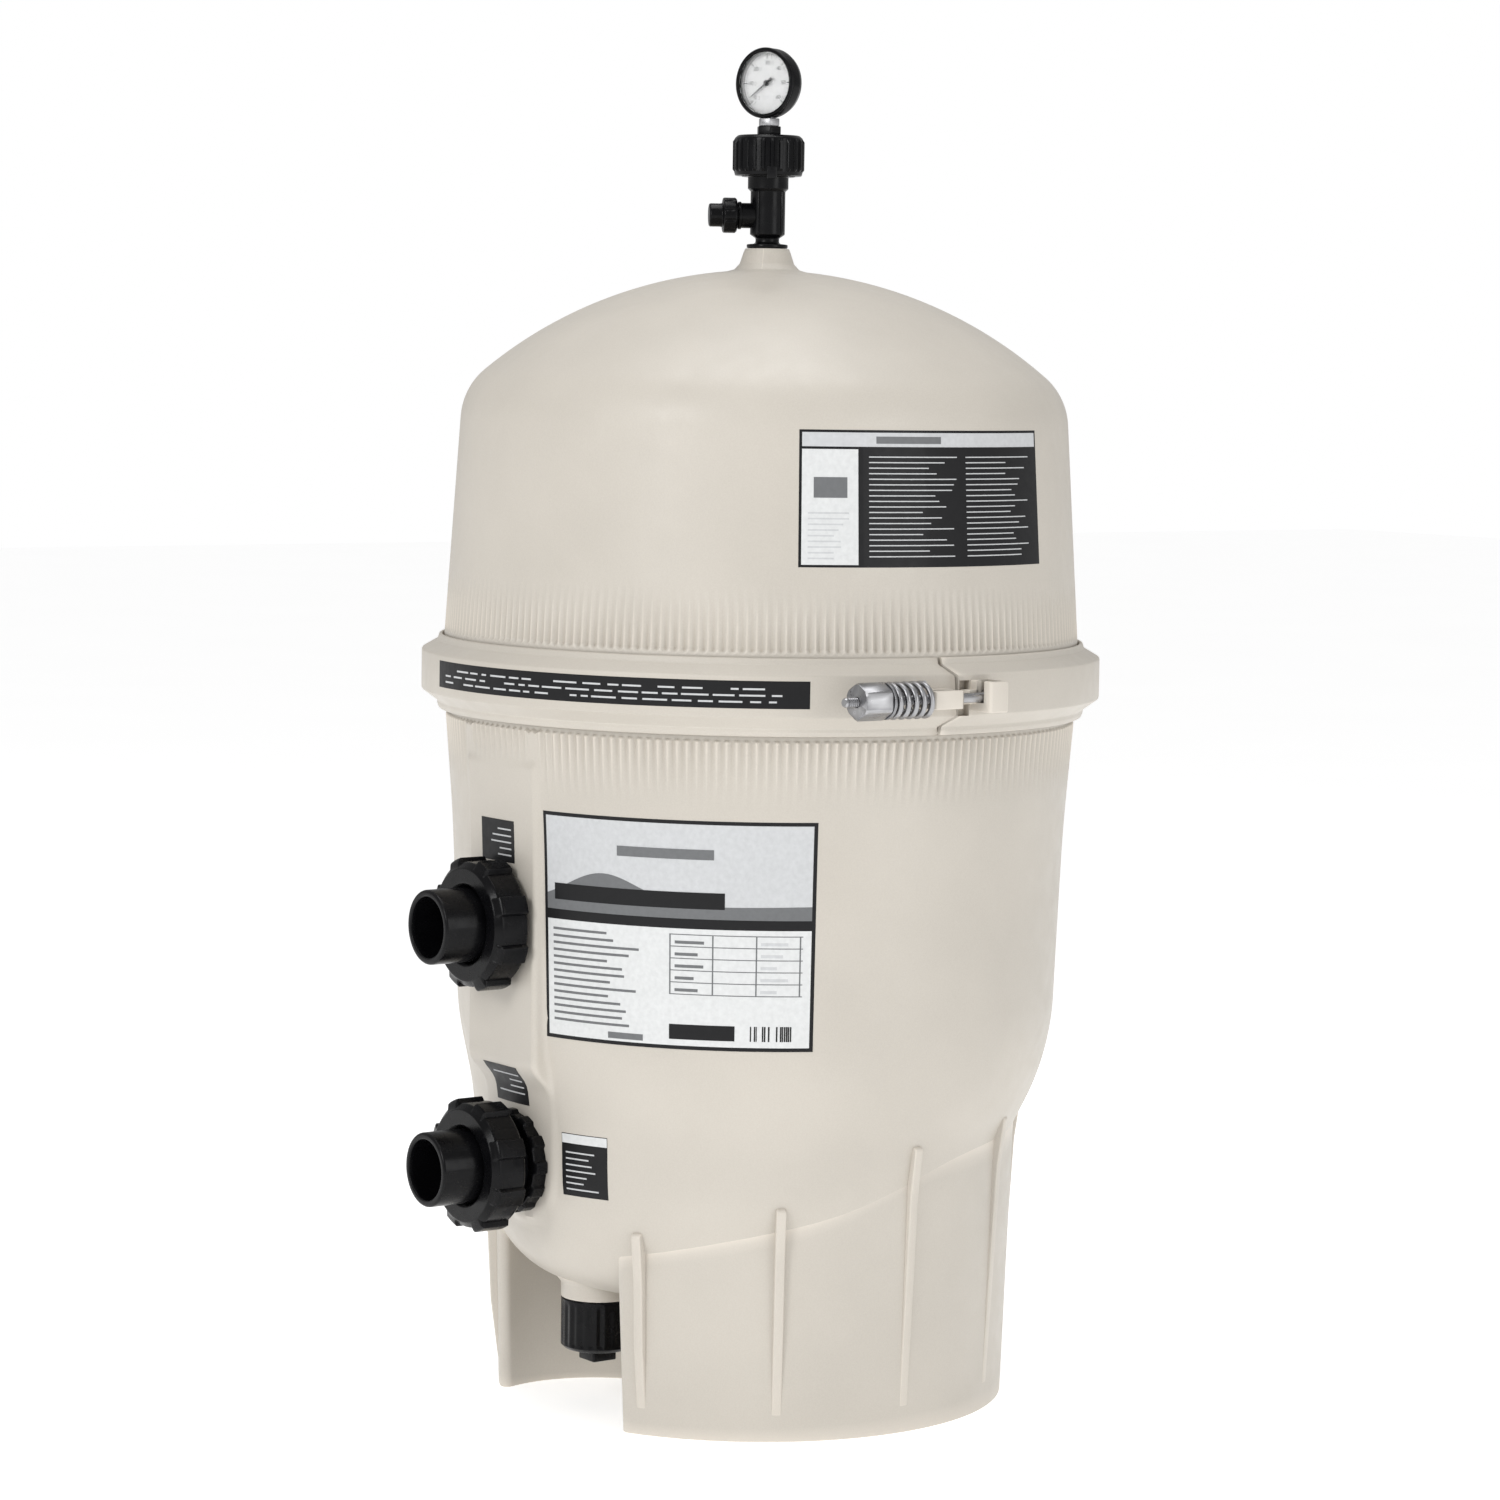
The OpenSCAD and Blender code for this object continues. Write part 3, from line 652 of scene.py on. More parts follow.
def base_skirt():
    """The skirt that the tank stands on, with its outer ribs."""
    outside = skirt_rows(0, 16, True)
    inside = skirt_rows(SKIRT_T, 10, False)
    for row in (outside[0], inside[-1]):
        row[:, 2] = 0.8
    lips = [skirt_outline(0, 0.9), skirt_outline(0, SKIRT_T - 0.9)]
    foot = [np.column_stack([lip, np.zeros(len(lip))]) for lip in lips]
    rows = np.array([foot[0], *outside, *inside, foot[1]])
    points = np.concatenate([rows, rows[:1]])
    piece("skirt_wall", points, grid_faces(len(points), points.shape[1]), ALMOND, "tank", ("base_skirt",))
    top = skirt_rows(0, 2, True)[-1]
    for k in range(1, RIB_COUNT):
        a = math.pi + 2 * math.pi * k / RIB_COUNT
        z = top[np.argmax(top[:, :2] @ [math.cos(a), math.sin(a)]), 2]
        outline = rounded([(205, 22), (SKIRT_R0 + 0.9, 22, 1), (SKIRT_R1 + 0.4, z - 83, 60),
                           (SKIRT_R1 + 3.4, z - 28, 60), (SKIRT_R1 + 9.1, z + 12, 4), (213, z + 14)], 1.0,
                           steps=5)
        at = axes((0, 0, 0), (math.sin(a), -math.cos(a), 0), (math.cos(a), math.sin(a), 0))
        points, faces = prism_data(outline, -4, 4, 1.4, 3)
        piece(f"skirt_rib_{k:02d}", points, faces, ALMOND, "tank", at=at)


def drain_spigot():
    """The threaded spigot under the sump, below its collar."""
    z0 = low("tank_lower")[2]
    at = axes((-DRAIN_X, 0, 0), (0, 0, 1), (1, 0, 0))
    profile = rounded([(17, z0), (24, z0), (24, 91.5, 0.5), (31, 91.5), (31, 104, 3), (36, 110, 1),
                       (17, 110)], 1.0)
    turned("drain_spigot", profile, ALMOND, "tank", at=at, columns=72)


def lid_flutes(theta, r, z):
    """Flutes round the foot of the lid, deepest at their lower ends."""
    valley = flute(theta * LID_FLUTES)
    fade = np.clip(1 - (z - LID_FLUTE_FADE) / 50.5, 0, 1)
    start = smooth(636.4, 639.4, z + 2.0 * (valley - 0.5))
    return -FLUTE_DEPTH * valley * fade * start * (r > 258.5) * (z > LID_FLUTE_FOOT)


def tank_lid():
    """The domed lid: flange, fluted wall, knuckle, crown and the boss that the valve stands on."""
    turn = math.atan(LID_SLOPE)
    n, t = np.array([math.cos(turn), math.sin(turn)]), np.array([-math.sin(turn), math.cos(turn)])
    crown_z = CROWN_TOP - CROWN_R
    q = n * (n @ [LID_R, CLAMP_HIGH] - KNUCKLE_R) - [0, crown_z]
    s = -(t @ q) + math.sqrt((t @ q) ** 2 - q @ q + (CROWN_R - KNUCKLE_R) ** 2)
    kr, kz = q + [0, crown_z] + t * s
    top_turn = math.degrees(math.atan2(kz - crown_z, kr))
    knuckle_z = kz + KNUCKLE_R * math.sin(turn)
    heights = np.concatenate([np.arange(LID_FLUTE_FOOT, 694, 1.3), np.arange(699, knuckle_z - 4, 14)])
    outer = np.column_stack([LID_R - LID_SLOPE * (heights - CLAMP_HIGH), heights])
    base_z = SPLIT_Z + 0.2
    foot = rounded([(LID_R - WALL, base_z, 0), (FLANGE_R, base_z), (FLANGE_R, 612), (LID_R - 1, 622, 3),
                    (LID_R, CLAMP_HIGH, 0)], 1.0, closed=False, steps=3)
    boss = rounded([(33, crown_z + math.sqrt(CROWN_R**2 - 33**2), 0), (27, CROWN_TOP + 0.2, 3),
                    (22.6, CROWN_TOP + 5, 2),
                    (19.6, BOSS_TOP - 3.5, 1.5), (18.2, BOSS_TOP), (9, BOSS_TOP, 0.6),
                    (9, CROWN_TOP - WALL - 0.2, 0)],
                   1.0, closed=False, steps=4)
    degrees = math.degrees(turn)
    profile = np.vstack([
        foot, outer, arc(kr, kz, KNUCKLE_R, degrees, top_turn, 18),
        arc(0, crown_z, CROWN_R, top_turn + 1.5, math.degrees(math.acos(35 / CROWN_R)), 26), boss,
        arc(0, crown_z, CROWN_R - WALL, 88, top_turn, 18), arc(kr, kz, KNUCKLE_R - WALL, top_turn - 6,
                                                               degrees, 9),
        [(LID_R - WALL, CLAMP_HIGH)]])
    turned("lid_shell", profile, ALMOND, "lid", ("tank_lid",), columns=LID_FLUTES * 6, swell=lid_flutes)


# ---- Clamp ring ----

SPLIT_TURN = 265.5
NOSE_TURN = 2.35
HINGE_Y = 290.0
HINGE_REACH = 13.0
BOLT_Y = (low("t_bolt")[1] + high("t_bolt")[1]) / 2
BOLT_Z = (low("t_bolt")[2] + high("t_bolt")[2]) / 2
BOLT_R = 4.0
BOLT_X = 8.5
TIP_X = low("t_bolt")[0]
BAND_R = 276
SPLIT_SHARE = 0.06
MIRROR_SHARE = 0.94


def clamp_section():
    """The ring's section: a bevelled band outside, two lips and the groove that grips the flanges."""
    lip, groove = 265.6, 275.0
    return rounded([(lip, CLAMP_LOW, 0.8), (268.4, CLAMP_LOW + 0.3, 1.2), (269.6, CLAMP_LOW + 3.8, 1.5),
                    (269.7, 578.5, 2),
                    (CLAMP_R, 588, 2.2), (CLAMP_R, 620.8, 2.2), (269.7, 628.3, 2.5),
                    (268.2, CLAMP_HIGH - 0.4, 1.2), (lip, CLAMP_HIGH, 0.8), (lip, 622.5, 1),
                    (groove, 613.2, 1),
                    (groove, 586.8, 1), (lip, 577.2, 1)], 1.0, steps=3)


def clamp_arc(start, end, nose):
    """A half ring between two angles in degrees. Its split end is stepped by nose(r, z)."""
    section = clamp_section()
    split_first = abs(start - SPLIT_TURN) < 1
    stations = np.concatenate([np.linspace(0, SPLIT_SHARE, 10), np.linspace(0.065, 1, 150)])
    if not split_first:
        stations = 1 - stations[::-1]
    hinge_turn = 450 - HINGE_REACH if split_first else 90 + HINGE_REACH
    hinge = (hinge_turn - start) / (end - start)
    stations = np.sort(np.append(stations[np.abs(stations - hinge) > 0.001],
                                 [hinge - 0.0005, hinge + 0.0005]))
    shift = nose(section[:, 0], section[:, 1])
    rows = []
    for s in stations:
        near_hinge = (s < hinge) if not split_first else (s > hinge)
        r, z = section[:, 0].copy(), section[:, 1].copy()
        if near_hinge:
            z = np.where(r < BAND_R, np.clip(z, 578.7, 627), z)
            r = np.maximum(r, BAND_R)
        a = start + (end - start) * s
        split = (1 - s / SPLIT_SHARE) if split_first else (s - MIRROR_SHARE) / SPLIT_SHARE
        a = np.radians(a + shift * np.clip(split, 0, 1))
        rows.append(np.column_stack([r * np.cos(a), r * np.sin(a), z]))
    points = np.array(rows)
    n, k = points.shape[:2]
    faces = grid_faces(n, k)
    faces += [list(range(k))[::-1], list(range((n - 1) * k, n * k))]
    return points.reshape(-1, 3), faces


def nose_shift(gap):
    """How far the split is stepped at each place in the section: a sloped nose at the band's middle."""
    def shift(r, z):
        band = smooth(578, 593, z) * (1 - smooth(614, 627, z))
        return NOSE_TURN * band * smooth(274, 277, r) + gap
    return shift


def carved(obj, cutters):
    """Cuts closed boxes out of a piece and keeps the result as its mesh."""
    for points, faces in cutters:
        mesh = bpy.data.meshes.new("cutter")
        mesh.from_pydata((np.array(points) * MM).tolist(), [], faces)
        tool = bpy.data.objects.new("cutter", mesh)
        bpy.context.scene.collection.objects.link(tool)
        cut = obj.modifiers.new("cut", "BOOLEAN")
        cut.operation, cut.object, cut.solver = "DIFFERENCE", tool, "EXACT"
        evaluated = obj.evaluated_get(bpy.context.evaluated_depsgraph_get())
        done = bpy.data.meshes.new_from_object(evaluated)
        obj.modifiers.clear()
        obj.data = done
        bpy.data.objects.remove(tool)
    obj.data.shade_smooth()
    obj.data.set_sharp_from_angle(angle=math.radians(32))
    return obj


def upright(x0, x1, y0, y1, z0, z1, bevel=1.0):
    """A bevelled box, by its limits."""
    return prism_data(block(x0, x1, y0, y1), z0, z1, bevel)


def lathe_data(profile, at, columns):
    """Points and faces of a profile of (r, z) turned about local Z."""
    theta = np.linspace(0, 2 * math.pi, columns, endpoint=False)
    r, z = profile[:, 0][:, None], profile[:, 1][:, None]
    points = np.stack([r * np.cos(theta), r * np.sin(theta), z + 0 * r * theta], -1)
    return placed(points, at), grid_faces(len(profile), columns)


def round_bar(r, z0, z1, at, columns=32, bevel=0.6):
    """Points and faces of a round bar along local Z."""
    profile = rounded([(0, z0, 0), (r, z0), (r, z1), (0, z1, 0)], bevel, closed=False, steps=3)
    return lathe_data(profile, at, columns)


def tube_data(ro, ri, z0, z1, at, columns=48, bevel=0.5):
    """Points and faces of a tube along local Z."""
    profile = rounded([(ri, z0), (ro, z0), (ro, z1), (ri, z1)], bevel, steps=3)
    return lathe_data(np.vstack([profile, profile[:1]]), at, columns)


def hinge_barrel(z0, z1):
    """One knuckle of the ring's hinge."""
    return tube_data(9, 4.2, z0, z1, axes((0, HINGE_Y, 0), (0, 0, 1), (1, 0, 0)), bevel=1.2)


def clamp_left():
    """The half ring on the port side, with its nose, the T-bolt's saddle and two hinge knuckles."""
    points, faces = clamp_arc(92.5, SPLIT_TURN - 0.3, nose_shift(-0.15))
    obj = piece("clamp_left_ring", points, faces, ALMOND, "clamp_left", ("clamp_left",))
    carved(obj, [prism_data(block(-62, -20, BOLT_Y - 6.5, BOLT_Y + 6.5), BOLT_Z - 4.3, BOLT_Z + 22, 0)])
    for k, (z0, z1) in enumerate(((571, 585), (615, 629))):
        parts = [hinge_barrel(z0, z1), upright(-18, -5, 278, 288, z0 + 0.5, z1 - 0.5, 1.5)]
        points, faces = joined(parts[:1])
        piece(f"clamp_left_knuckle_{k + 1}", points, faces, ALMOND, "clamp_left")
        points, faces = joined(parts[1:])
        piece(f"clamp_left_web_{k + 1}", points, faces, ALMOND, "clamp_left")
    saddle = prism_data(rounded([(-54, -304.4), (-24, -304.4), (-24, -279), (-54, -278)], 2.5,
                                steps=3).tolist(),
                        BOLT_Z - 7.8, BOLT_Z + 6.8, 1.2)
    obj = piece("clamp_left_saddle", *saddle, ALMOND, "clamp_left")
    carved(obj, [prism_data(block(-60, -20, BOLT_Y - 5.2, BOLT_Y + 5.2), BOLT_Z - 4.3, BOLT_Z + 22, 0)])


def clamp_right():
    """The other half ring: stepped end, windows, the bolt head's pocket, middle knuckle."""
    points, faces = clamp_arc(SPLIT_TURN + 0.3, 447.5, nose_shift(0.1))
    obj = piece("clamp_right_ring", points, faces, ALMOND, "clamp_right", ("clamp_right",))
    windows = [prism_data(block(-12.5, -2.5, -290, -276.5), BOLT_Z + 3.2, BOLT_Z + 12.5, 0),
               prism_data(block(-12.5, -2.5, -290, -276.5), BOLT_Z - 15.5, BOLT_Z - 6.5, 0)]
    carved(obj, windows)
    outline = rounded([(-1.5, -307.8), (17.8, -307.8), (17.8, -279), (-1.5, -279)], 3.0, steps=4).tolist()
    obj = piece("clamp_right_pocket", *prism_data(outline, BOLT_Z - 11.8, BOLT_Z + 12.8, 1.4, 3), ALMOND,
                "clamp_right")
    carved(obj, [prism_data(block(3.2, 13.8, BOLT_Y - 9.2, BOLT_Y + 9.2), BOLT_Z - 5.8, BOLT_Z + 30, 0),
                 prism_data(block(-9, 5, BOLT_Y - 4.6, BOLT_Y + 4.6), BOLT_Z - 4.4, BOLT_Z + 30, 0)])
    bar = upright(-8.5, 0, -291, -278, BOLT_Z - 5.4, BOLT_Z + 5.4, 1.0)
    obj = piece("clamp_right_bridge", *bar, ALMOND, "clamp_right")
    carved(obj, [prism_data(block(-12, 4, BOLT_Y - 4.6, BOLT_Y + 4.6), BOLT_Z - 4.4, BOLT_Z + 22, 0)])
    piece("clamp_right_knuckle", *hinge_barrel(586, 614), ALMOND, "clamp_right")
    piece("clamp_right_web", *upright(5, 18, 278, 288, 587, 613, 1.5), ALMOND, "clamp_right")


def hinge_pin():
    """The steel pin through the ring's hinge, headed above and peened below."""
    at = axes((0, HINGE_Y, 0), (0, 0, 1), (1, 0, 0))
    profile = rounded([(0, 569, 0), (4, 569), (4, 629.5, 0), (6, 629.5, 0.5), (6, 633, 1.4), (0, 633, 0)],
                      0.8, closed=False)
    turned("hinge_pin", profile, ZINC, "tank", ("clamp_hinge_pin",), at, 40, closed=False)


def along_bolt():
    """Local Z along the T-bolt, from its head out over the saddle."""
    return axes((BOLT_X, BOLT_Y, BOLT_Z), (-1, 0, 0))


def t_bolt():
    """The T-bolt: a cross-bar head and a shank with a rolled thread."""
    length = BOLT_X - TIP_X
    pitch, rows_per_turn = 1.9, 6
    heights = np.arange(36, length - 1.2, pitch / rows_per_turn)
    theta = np.linspace(0, 2 * math.pi, 20, endpoint=False)
    phase = (heights[:, None] / pitch - theta[None, :] / (2 * math.pi)) % 1
    fade = smooth(36, 39, heights)[:, None] * (1 - smooth(length - 3.5, length - 1.5, heights))[:, None]
    radius = BOLT_R - 0.05 - 0.55 * fade * (np.abs(phase - 0.5) * 2)
    radius = np.vstack([np.full((1, 20), 0.0), np.full((2, 20), BOLT_R - 0.05), radius,
                        np.full((1, 20), BOLT_R - 0.9), np.zeros((1, 20))])
    z = np.concatenate([[0, 0, 35], heights, [length, length]])[:, None] + 0 * radius
    points = np.stack([radius * np.cos(theta), radius * np.sin(theta), z], -1)
    piece("t_bolt_shank", points, grid_faces(len(points), 20), ZINC, "t_bolt", ("t_bolt",), along_bolt())
    at = axes((BOLT_X, BOLT_Y, BOLT_Z), (0, 1, 0), (0, 0, 1))
    profile = rounded([(0, -8.5, 0), (5, -8.5), (5, 8.5), (0, 8.5, 0)], 1.2, closed=False)
    turned("t_bolt_head", profile, ZINC, "t_bolt", (), at, 36, closed=False)


def clamp_spring():
    """The coil spring on the T-bolt, with its end turns closed and ground."""
    turns, wire = 5.4, 2.3
    first, last = 63.2, 101.8
    coil = (high("clamp_spring")[2] - low("clamp_spring")[2]) / 2 - wire
    steps, sides = int(turns * 36), 12
    rows = []
    for i in range(steps + 1):
        a = 2 * math.pi * turns * i / steps
        share = np.clip((i / steps - 0.09) / 0.82, 0, 1)
        z = first + wire + (last - first - 2 * wire) * share
        out = np.array([math.cos(a), math.sin(a), 0])
        b = np.linspace(0, 2 * math.pi, sides, endpoint=False)
        row = out * (coil + wire * np.cos(b)[:, None]) + np.outer(wire * np.sin(b), [0, 0, 1]) + [0, 0, z]
        row[:, 2] = np.clip(row[:, 2], first + 0.5, last - 0.5)
        rows.append(row)
    points = np.array(rows)
    faces = grid_faces(len(rows), sides) + [list(range(sides))[::-1],
                                            list(range(steps * sides, (steps + 1) * sides))]
    piece("bolt_spring", points, faces, ZINC, "t_bolt", ("clamp_spring",), along_bolt(), crease=50)


def bolt_washer():
    """The flat washer between spring and nut."""
    z0 = BOLT_X - high("spring_washer")[0]
    z1 = BOLT_X - low("spring_washer")[0]
    profile = rounded([(BOLT_R + 0.4, z0), (14.5, z0), (14.5, z1), (BOLT_R + 0.4, z1)], 0.5)
    turned("bolt_washer", profile, ZINC, "spring_washer", ("spring_washer",), along_bolt(), 56)


def barrel_nut():
    """The long hexagonal nut, chamfered at both ends, with its tapped bore."""
    z0 = BOLT_X - high("barrel_nut")[0]
    z1 = BOLT_X - low("barrel_nut")[0]
    body = prism_data(polygon(6, 15), z0, z1, 0.5)
    obj = piece("barrel_nut_hex", *body, ZINC, "barrel_nut", ("barrel_nut",), along_bolt())
    ring = [(13.4, z0 - 2), (17, z0 - 2), (17, z1 + 2), (13.4, z1 + 2), (13.4, z1), (15.1, z1 - 1.6),
            (15.1, z0 + 1.6), (13.4, z0)]
    theta = np.linspace(0, 2 * math.pi, 48, endpoint=False)
    loop = np.array(ring + ring[:1])
    shape = np.stack([loop[:, :1] * np.cos(theta), loop[:, :1] * np.sin(theta), loop[:, 1:] + 0 * theta],
                     -1)
    bore, bore_faces = round_bar(BOLT_R + 0.35, z0 - 1, z1 + 1, along_bolt(), 32, 0)
    carved(obj, [(placed(shape, along_bolt()), grid_faces(len(loop), 48)), (bore, bore_faces)])


# ---- Ports ----

def lugs(count, height, width, z0, z1, least, soft=0.35, turn=0.0):
    """Swell for grip lugs `width` degrees wide, from z0 to z1, beyond the radius `least`."""
    def swell(theta, r, z):
        step = 2 * math.pi / count
        off = np.abs((theta - turn + step / 2) % step - step / 2)
        half = math.radians(width) / 2
        side = 1 - smooth(half * (1 - soft), half, off)
        ends = smooth(z0, z0 + 1.6, z) * (1 - smooth(z1 - 1.6, z1, z))
        return height * side * ends * (r > least)
    return swell


def dense(profile, gap, closed=True):
    """The profile with extra points, so that no two are further apart than gap."""
    profile = np.asarray(profile, float)
    starts, ends = (profile, np.roll(profile, -1, 0)) if closed else (profile[:-1], profile[1:])
    out = []
    for a, b in zip(starts, ends):
        n = max(1, int(np.ceil(np.linalg.norm(b - a) / gap)))
        out.extend(a + (b - a) * k / n for k in range(n))
    return np.array(out if closed else out + [profile[-1]])


def port_fitting(name, z, pad_x):
    """The pieces of one union port: bulkhead head, lock nut, union nut and tail."""
    at = axes((0, 0, z), (-1, 0, 0))
    node = f"{name}_bulkhead"
    out = -low(node)[0]
    inner = -high(node)[0]
    nut_t = (high(f"{name}_lock_nut") - low(f"{name}_lock_nut"))[0]
    neck = pad_x + nut_t + 0.5
    profile = rounded([(24.2, inner), (40, inner), (40, inner + 6), (30, inner + 6, 0.3), (30, neck, 0.3),
                       (34, neck), (34, NUT_IN + 0.9, 0.3), (43.4, NUT_IN + 0.9), (43.4, out),
                       (24.2, out)], 0.8)
    turned(f"{name}_bulkhead_body", profile, PVC, "tank", (node,), at)
    profile = dense(rounded([(30.2, pad_x), (40.2, pad_x), (40.2, pad_x + nut_t), (30.2, pad_x + nut_t)],
                            0.9), 1.2)
    shape = lugs(12, 2.6, 17, pad_x + 0.2, pad_x + nut_t - 0.2, 38)
    turned(f"{name}_lock_ring", profile, PVC, "tank", (f"{name}_lock_nut",), at, 288, shape)
    cavity = -low(node)[0] + 8.8
    profile = dense(rounded([(44.5, NUT_IN, 1), (48.6, NUT_IN, 1.5), (50.4, NUT_IN + 2.5, 1.5),
                             (50.4, NUT_OUT - 4.5, 2), (45.5, NUT_OUT, 1.5), (33.5, NUT_OUT, 1.5),
                             (31.0, NUT_OUT - 2.5, 0.6), (31.0, cavity, 0.4), (44.5, cavity, 0.8)], 1.0),
                             1.6)
    shape = lugs(8, 3.9, 19, NUT_IN + 0.4, NUT_OUT - 1.2, 47.5, 0.22, math.pi / 8)
    turned(f"{name}_nut_body", profile, PVC, f"{name}_nut", (f"{name}_union_nut",), at, 384, shape)
    face = -high(f"{name}_union_tail")[0]
    socket = MOUTH_X - 38
    profile = rounded([(20.5, face), (43, face), (43, face + 6.4), (31.5, face + 6.4, 1.5),
                       (30.1, face + 8, 1),
                       (30.1, MOUTH_X - 0.5, 2.2), (24.8, MOUTH_X - 0.5, 1.2), (24.2, MOUTH_X - 4, 1),
                       (24.2, socket, 0.5), (20.5, socket, 0.8)], 0.8)
    turned(f"{name}_tail_pipe", profile, PVC, f"{name}_tail", (f"{name}_union_tail",), at)


def drain_cap():
    """The drain's screw cap, fluted for grip, with a square knob below."""
    node = "drain_cap"
    z0, floor_z, z1 = 48.4, 66.2, high(node)[2]
    at = axes((-DRAIN_X, 0, 0), (0, 0, 1), (1, 0, 0))
    r = DRAIN_R
    profile = dense(rounded([(0, z0, 0), (r - 3.5, z0, 2), (r, z0 + 3.2, 1.5), (r, z1, 1),
                             (24.7, z1, 0.8),
                             (24.7, floor_z, 0.5), (0, floor_z, 0)], 1.0, closed=False)[:-1], 2.2)
    profile = np.vstack([profile[profile[:, 0] >= 0], [(0, floor_z)]])

    def grip(theta, rr, z):
        wave = 0.5 + 0.5 * np.cos(theta * 24)
        return -0.9 * wave * (rr > r - 1.5) * smooth(z0 + 3, z0 + 6, z) * (1 - smooth(z1 - 5, z1 - 3, z))
    turned("drain_cap_cup", profile, PVC, "drain_cap", (node,), at, 192, grip, closed=False)
    outline = rounded([(-11.5, -11.5), (11.5, -11.5), (11.5, 11.5), (-11.5, 11.5)], 2.0).tolist()
    piece("drain_cap_knob", *prism_data(outline, low(node)[2], z0 + 1.5, 1.2), PVC, "drain_cap", at=at)


# ---- Air relief valve ----

def valve():
    """The relief valve on the lid: base, body with four webs, vent port, fluted lock ring and gauge seat."""
    z = BOSS_TOP
    collar = low("lock_ring")[2] + 2.8
    profile = rounded([(5.5, z - 28), (8.7, z - 28), (8.7, z + 0.4, 0.2), (17, z + 0.4), (17, z + 3.4),
                       (9.8, z + 4.2, 2),
                       (9.8, z + 8.5, 1.5), (14.4, z + 11.5, 1.2), (14.4, collar - 12.5, 1),
                       (16.8, collar - 10.2, 1),
                       (16.8, collar - 0.4, 0.6), (22, collar - 0.4, 0.4), (22, collar + 21.5),
                       (15, collar + 21.5),
                       (15, collar + 2, 0.5), (5.5, collar + 2)], 0.8)
    turned("valve_housing", profile, PVC, "lid", ("valve_body",), columns=80)
    for k in range(4):
        a = math.radians(20 + 90 * k)
        at = axes((0, 0, 0), (math.sin(a), -math.cos(a), 0), (math.cos(a), math.sin(a), 0))
        web = prism_data([(9, z + 9), (14.6, z + 11), (15.6, z + 15), (15.6, collar - 13),
                          (13, collar - 9), (9, collar - 9)],
                         -1.3, 1.3, 0.5)
        piece(f"valve_web_{k + 1}", *web, PVC, "lid", at=at)
    turn = math.radians(150)
    port = axes((0, 0, 982), (math.cos(turn), math.sin(turn), 0))
    profile = rounded([(6, 8), (10.4, 8), (10.4, 22, 0.3), (11.4, 22.4, 0.4), (11.4, 24.6, 0.5),
                       (10.2, 25.2, 0.3),
                       (10.2, 31), (6, 31)], 0.5)
    turned("vent_spout", profile, PVC, "lid", at=port, columns=56)
    profile = rounded([(0, 33.7, 0), (11, 33.7, 0.4), (11, 26, 0.6), (13.4, 26, 0.6), (14.6, 27.4),
                       (14.6, 37.2, 1.4),
                       (9.9, 38, 1), (9.6, 40, 0.5), (9.6, 49, 1.6), (0, 49, 0)], 0.8, closed=False)
    turned("vent_knob", dense(profile, 1.5, False), PVC, "vent_cap", ("vent_cap",), port, 180,
           lugs(10, -0.9, 14, 28.0, 37.0, 13.9, 0.8), closed=False)
    z0, z1 = low("lock_ring")[2] + 3.2, RING_Z1
    profile = dense(rounded([(22.6, z0), (27.6, z0, 1), (28.3, z0 + 3, 1), (28.3, z1 - 2.5, 2),
                             (25.5, z1, 2), (9, z1, 0.8),
                             (9, z1 - 8), (22.6, z1 - 8)], 1.0), 2.0)
    turned("lock_ring_grip", profile, PVC, "lock_ring", ("lock_ring",), None, 384,
           lugs(24, 1.5, 7.4, z0 + 3.5, z1 - 3.0, 27.4, 0.4))
    for k in range(2):
        a = math.radians(60 + 180 * k)
        at = axes((0, 0, 0), (0, 0, 1), (math.cos(a), math.sin(a), 0))
        piece(f"lock_ring_tab_{k + 1}", *prism_data(block(26.4, 29.4, -4, 4), z0 - 3, z0 + 7, 0.6), PVC,
              "lock_ring", at=at)
    hex_z1 = high("valve_stem")[2]
    piece("stem_hex", *prism_data(polygon(6, 10.7), z1 + 0.3, hex_z1, 0.7), PVC, "relief_stem")
    profile = rounded([(3, z0 - 1.5 + 4), (14.6, z0 + 2), (14.6, z0 + 19.6), (8.6, z0 + 21.6),
                       (8.6, z1 + 2), (3, z1 + 2)], 0.6)
    turned("stem_plug", profile, PVC, "relief_stem", ("valve_stem",), columns=64)


# ---- Gauge ----

GAUGE_TURN = math.radians(198)
SCALE_START = 135.0
SCALE_SWEEP = 270.0
FACING = np.array([math.cos(GAUGE_TURN), math.sin(GAUGE_TURN), 0.0])


def gauge_frame():
    """Local Z out of the dial, local X up and local Y to the reader's left."""
    return axes((0, 0, GAUGE_Z), FACING, (0, 0, 1))


def digits(text, height, x, y, z, name):
    """A dial number as a thin mesh, upright to the reader, centred at local (x, y)."""
    curve = bpy.data.curves.new(name, "FONT")
    curve.body, curve.size, curve.extrude = text, height, 0.06
    curve.align_x, curve.align_y = "CENTER", "CENTER"
    obj = bpy.data.objects.new(name, curve)
    bpy.context.scene.collection.objects.link(obj)
    mesh = bpy.data.meshes.new_from_object(obj.evaluated_get(bpy.context.evaluated_depsgraph_get()))
    points = [(x + v.co.y, y - v.co.x, z + v.co.z) for v in mesh.vertices]
    faces = [list(p.vertices) for p in mesh.polygons]
    bpy.data.objects.remove(obj)
    return points, faces


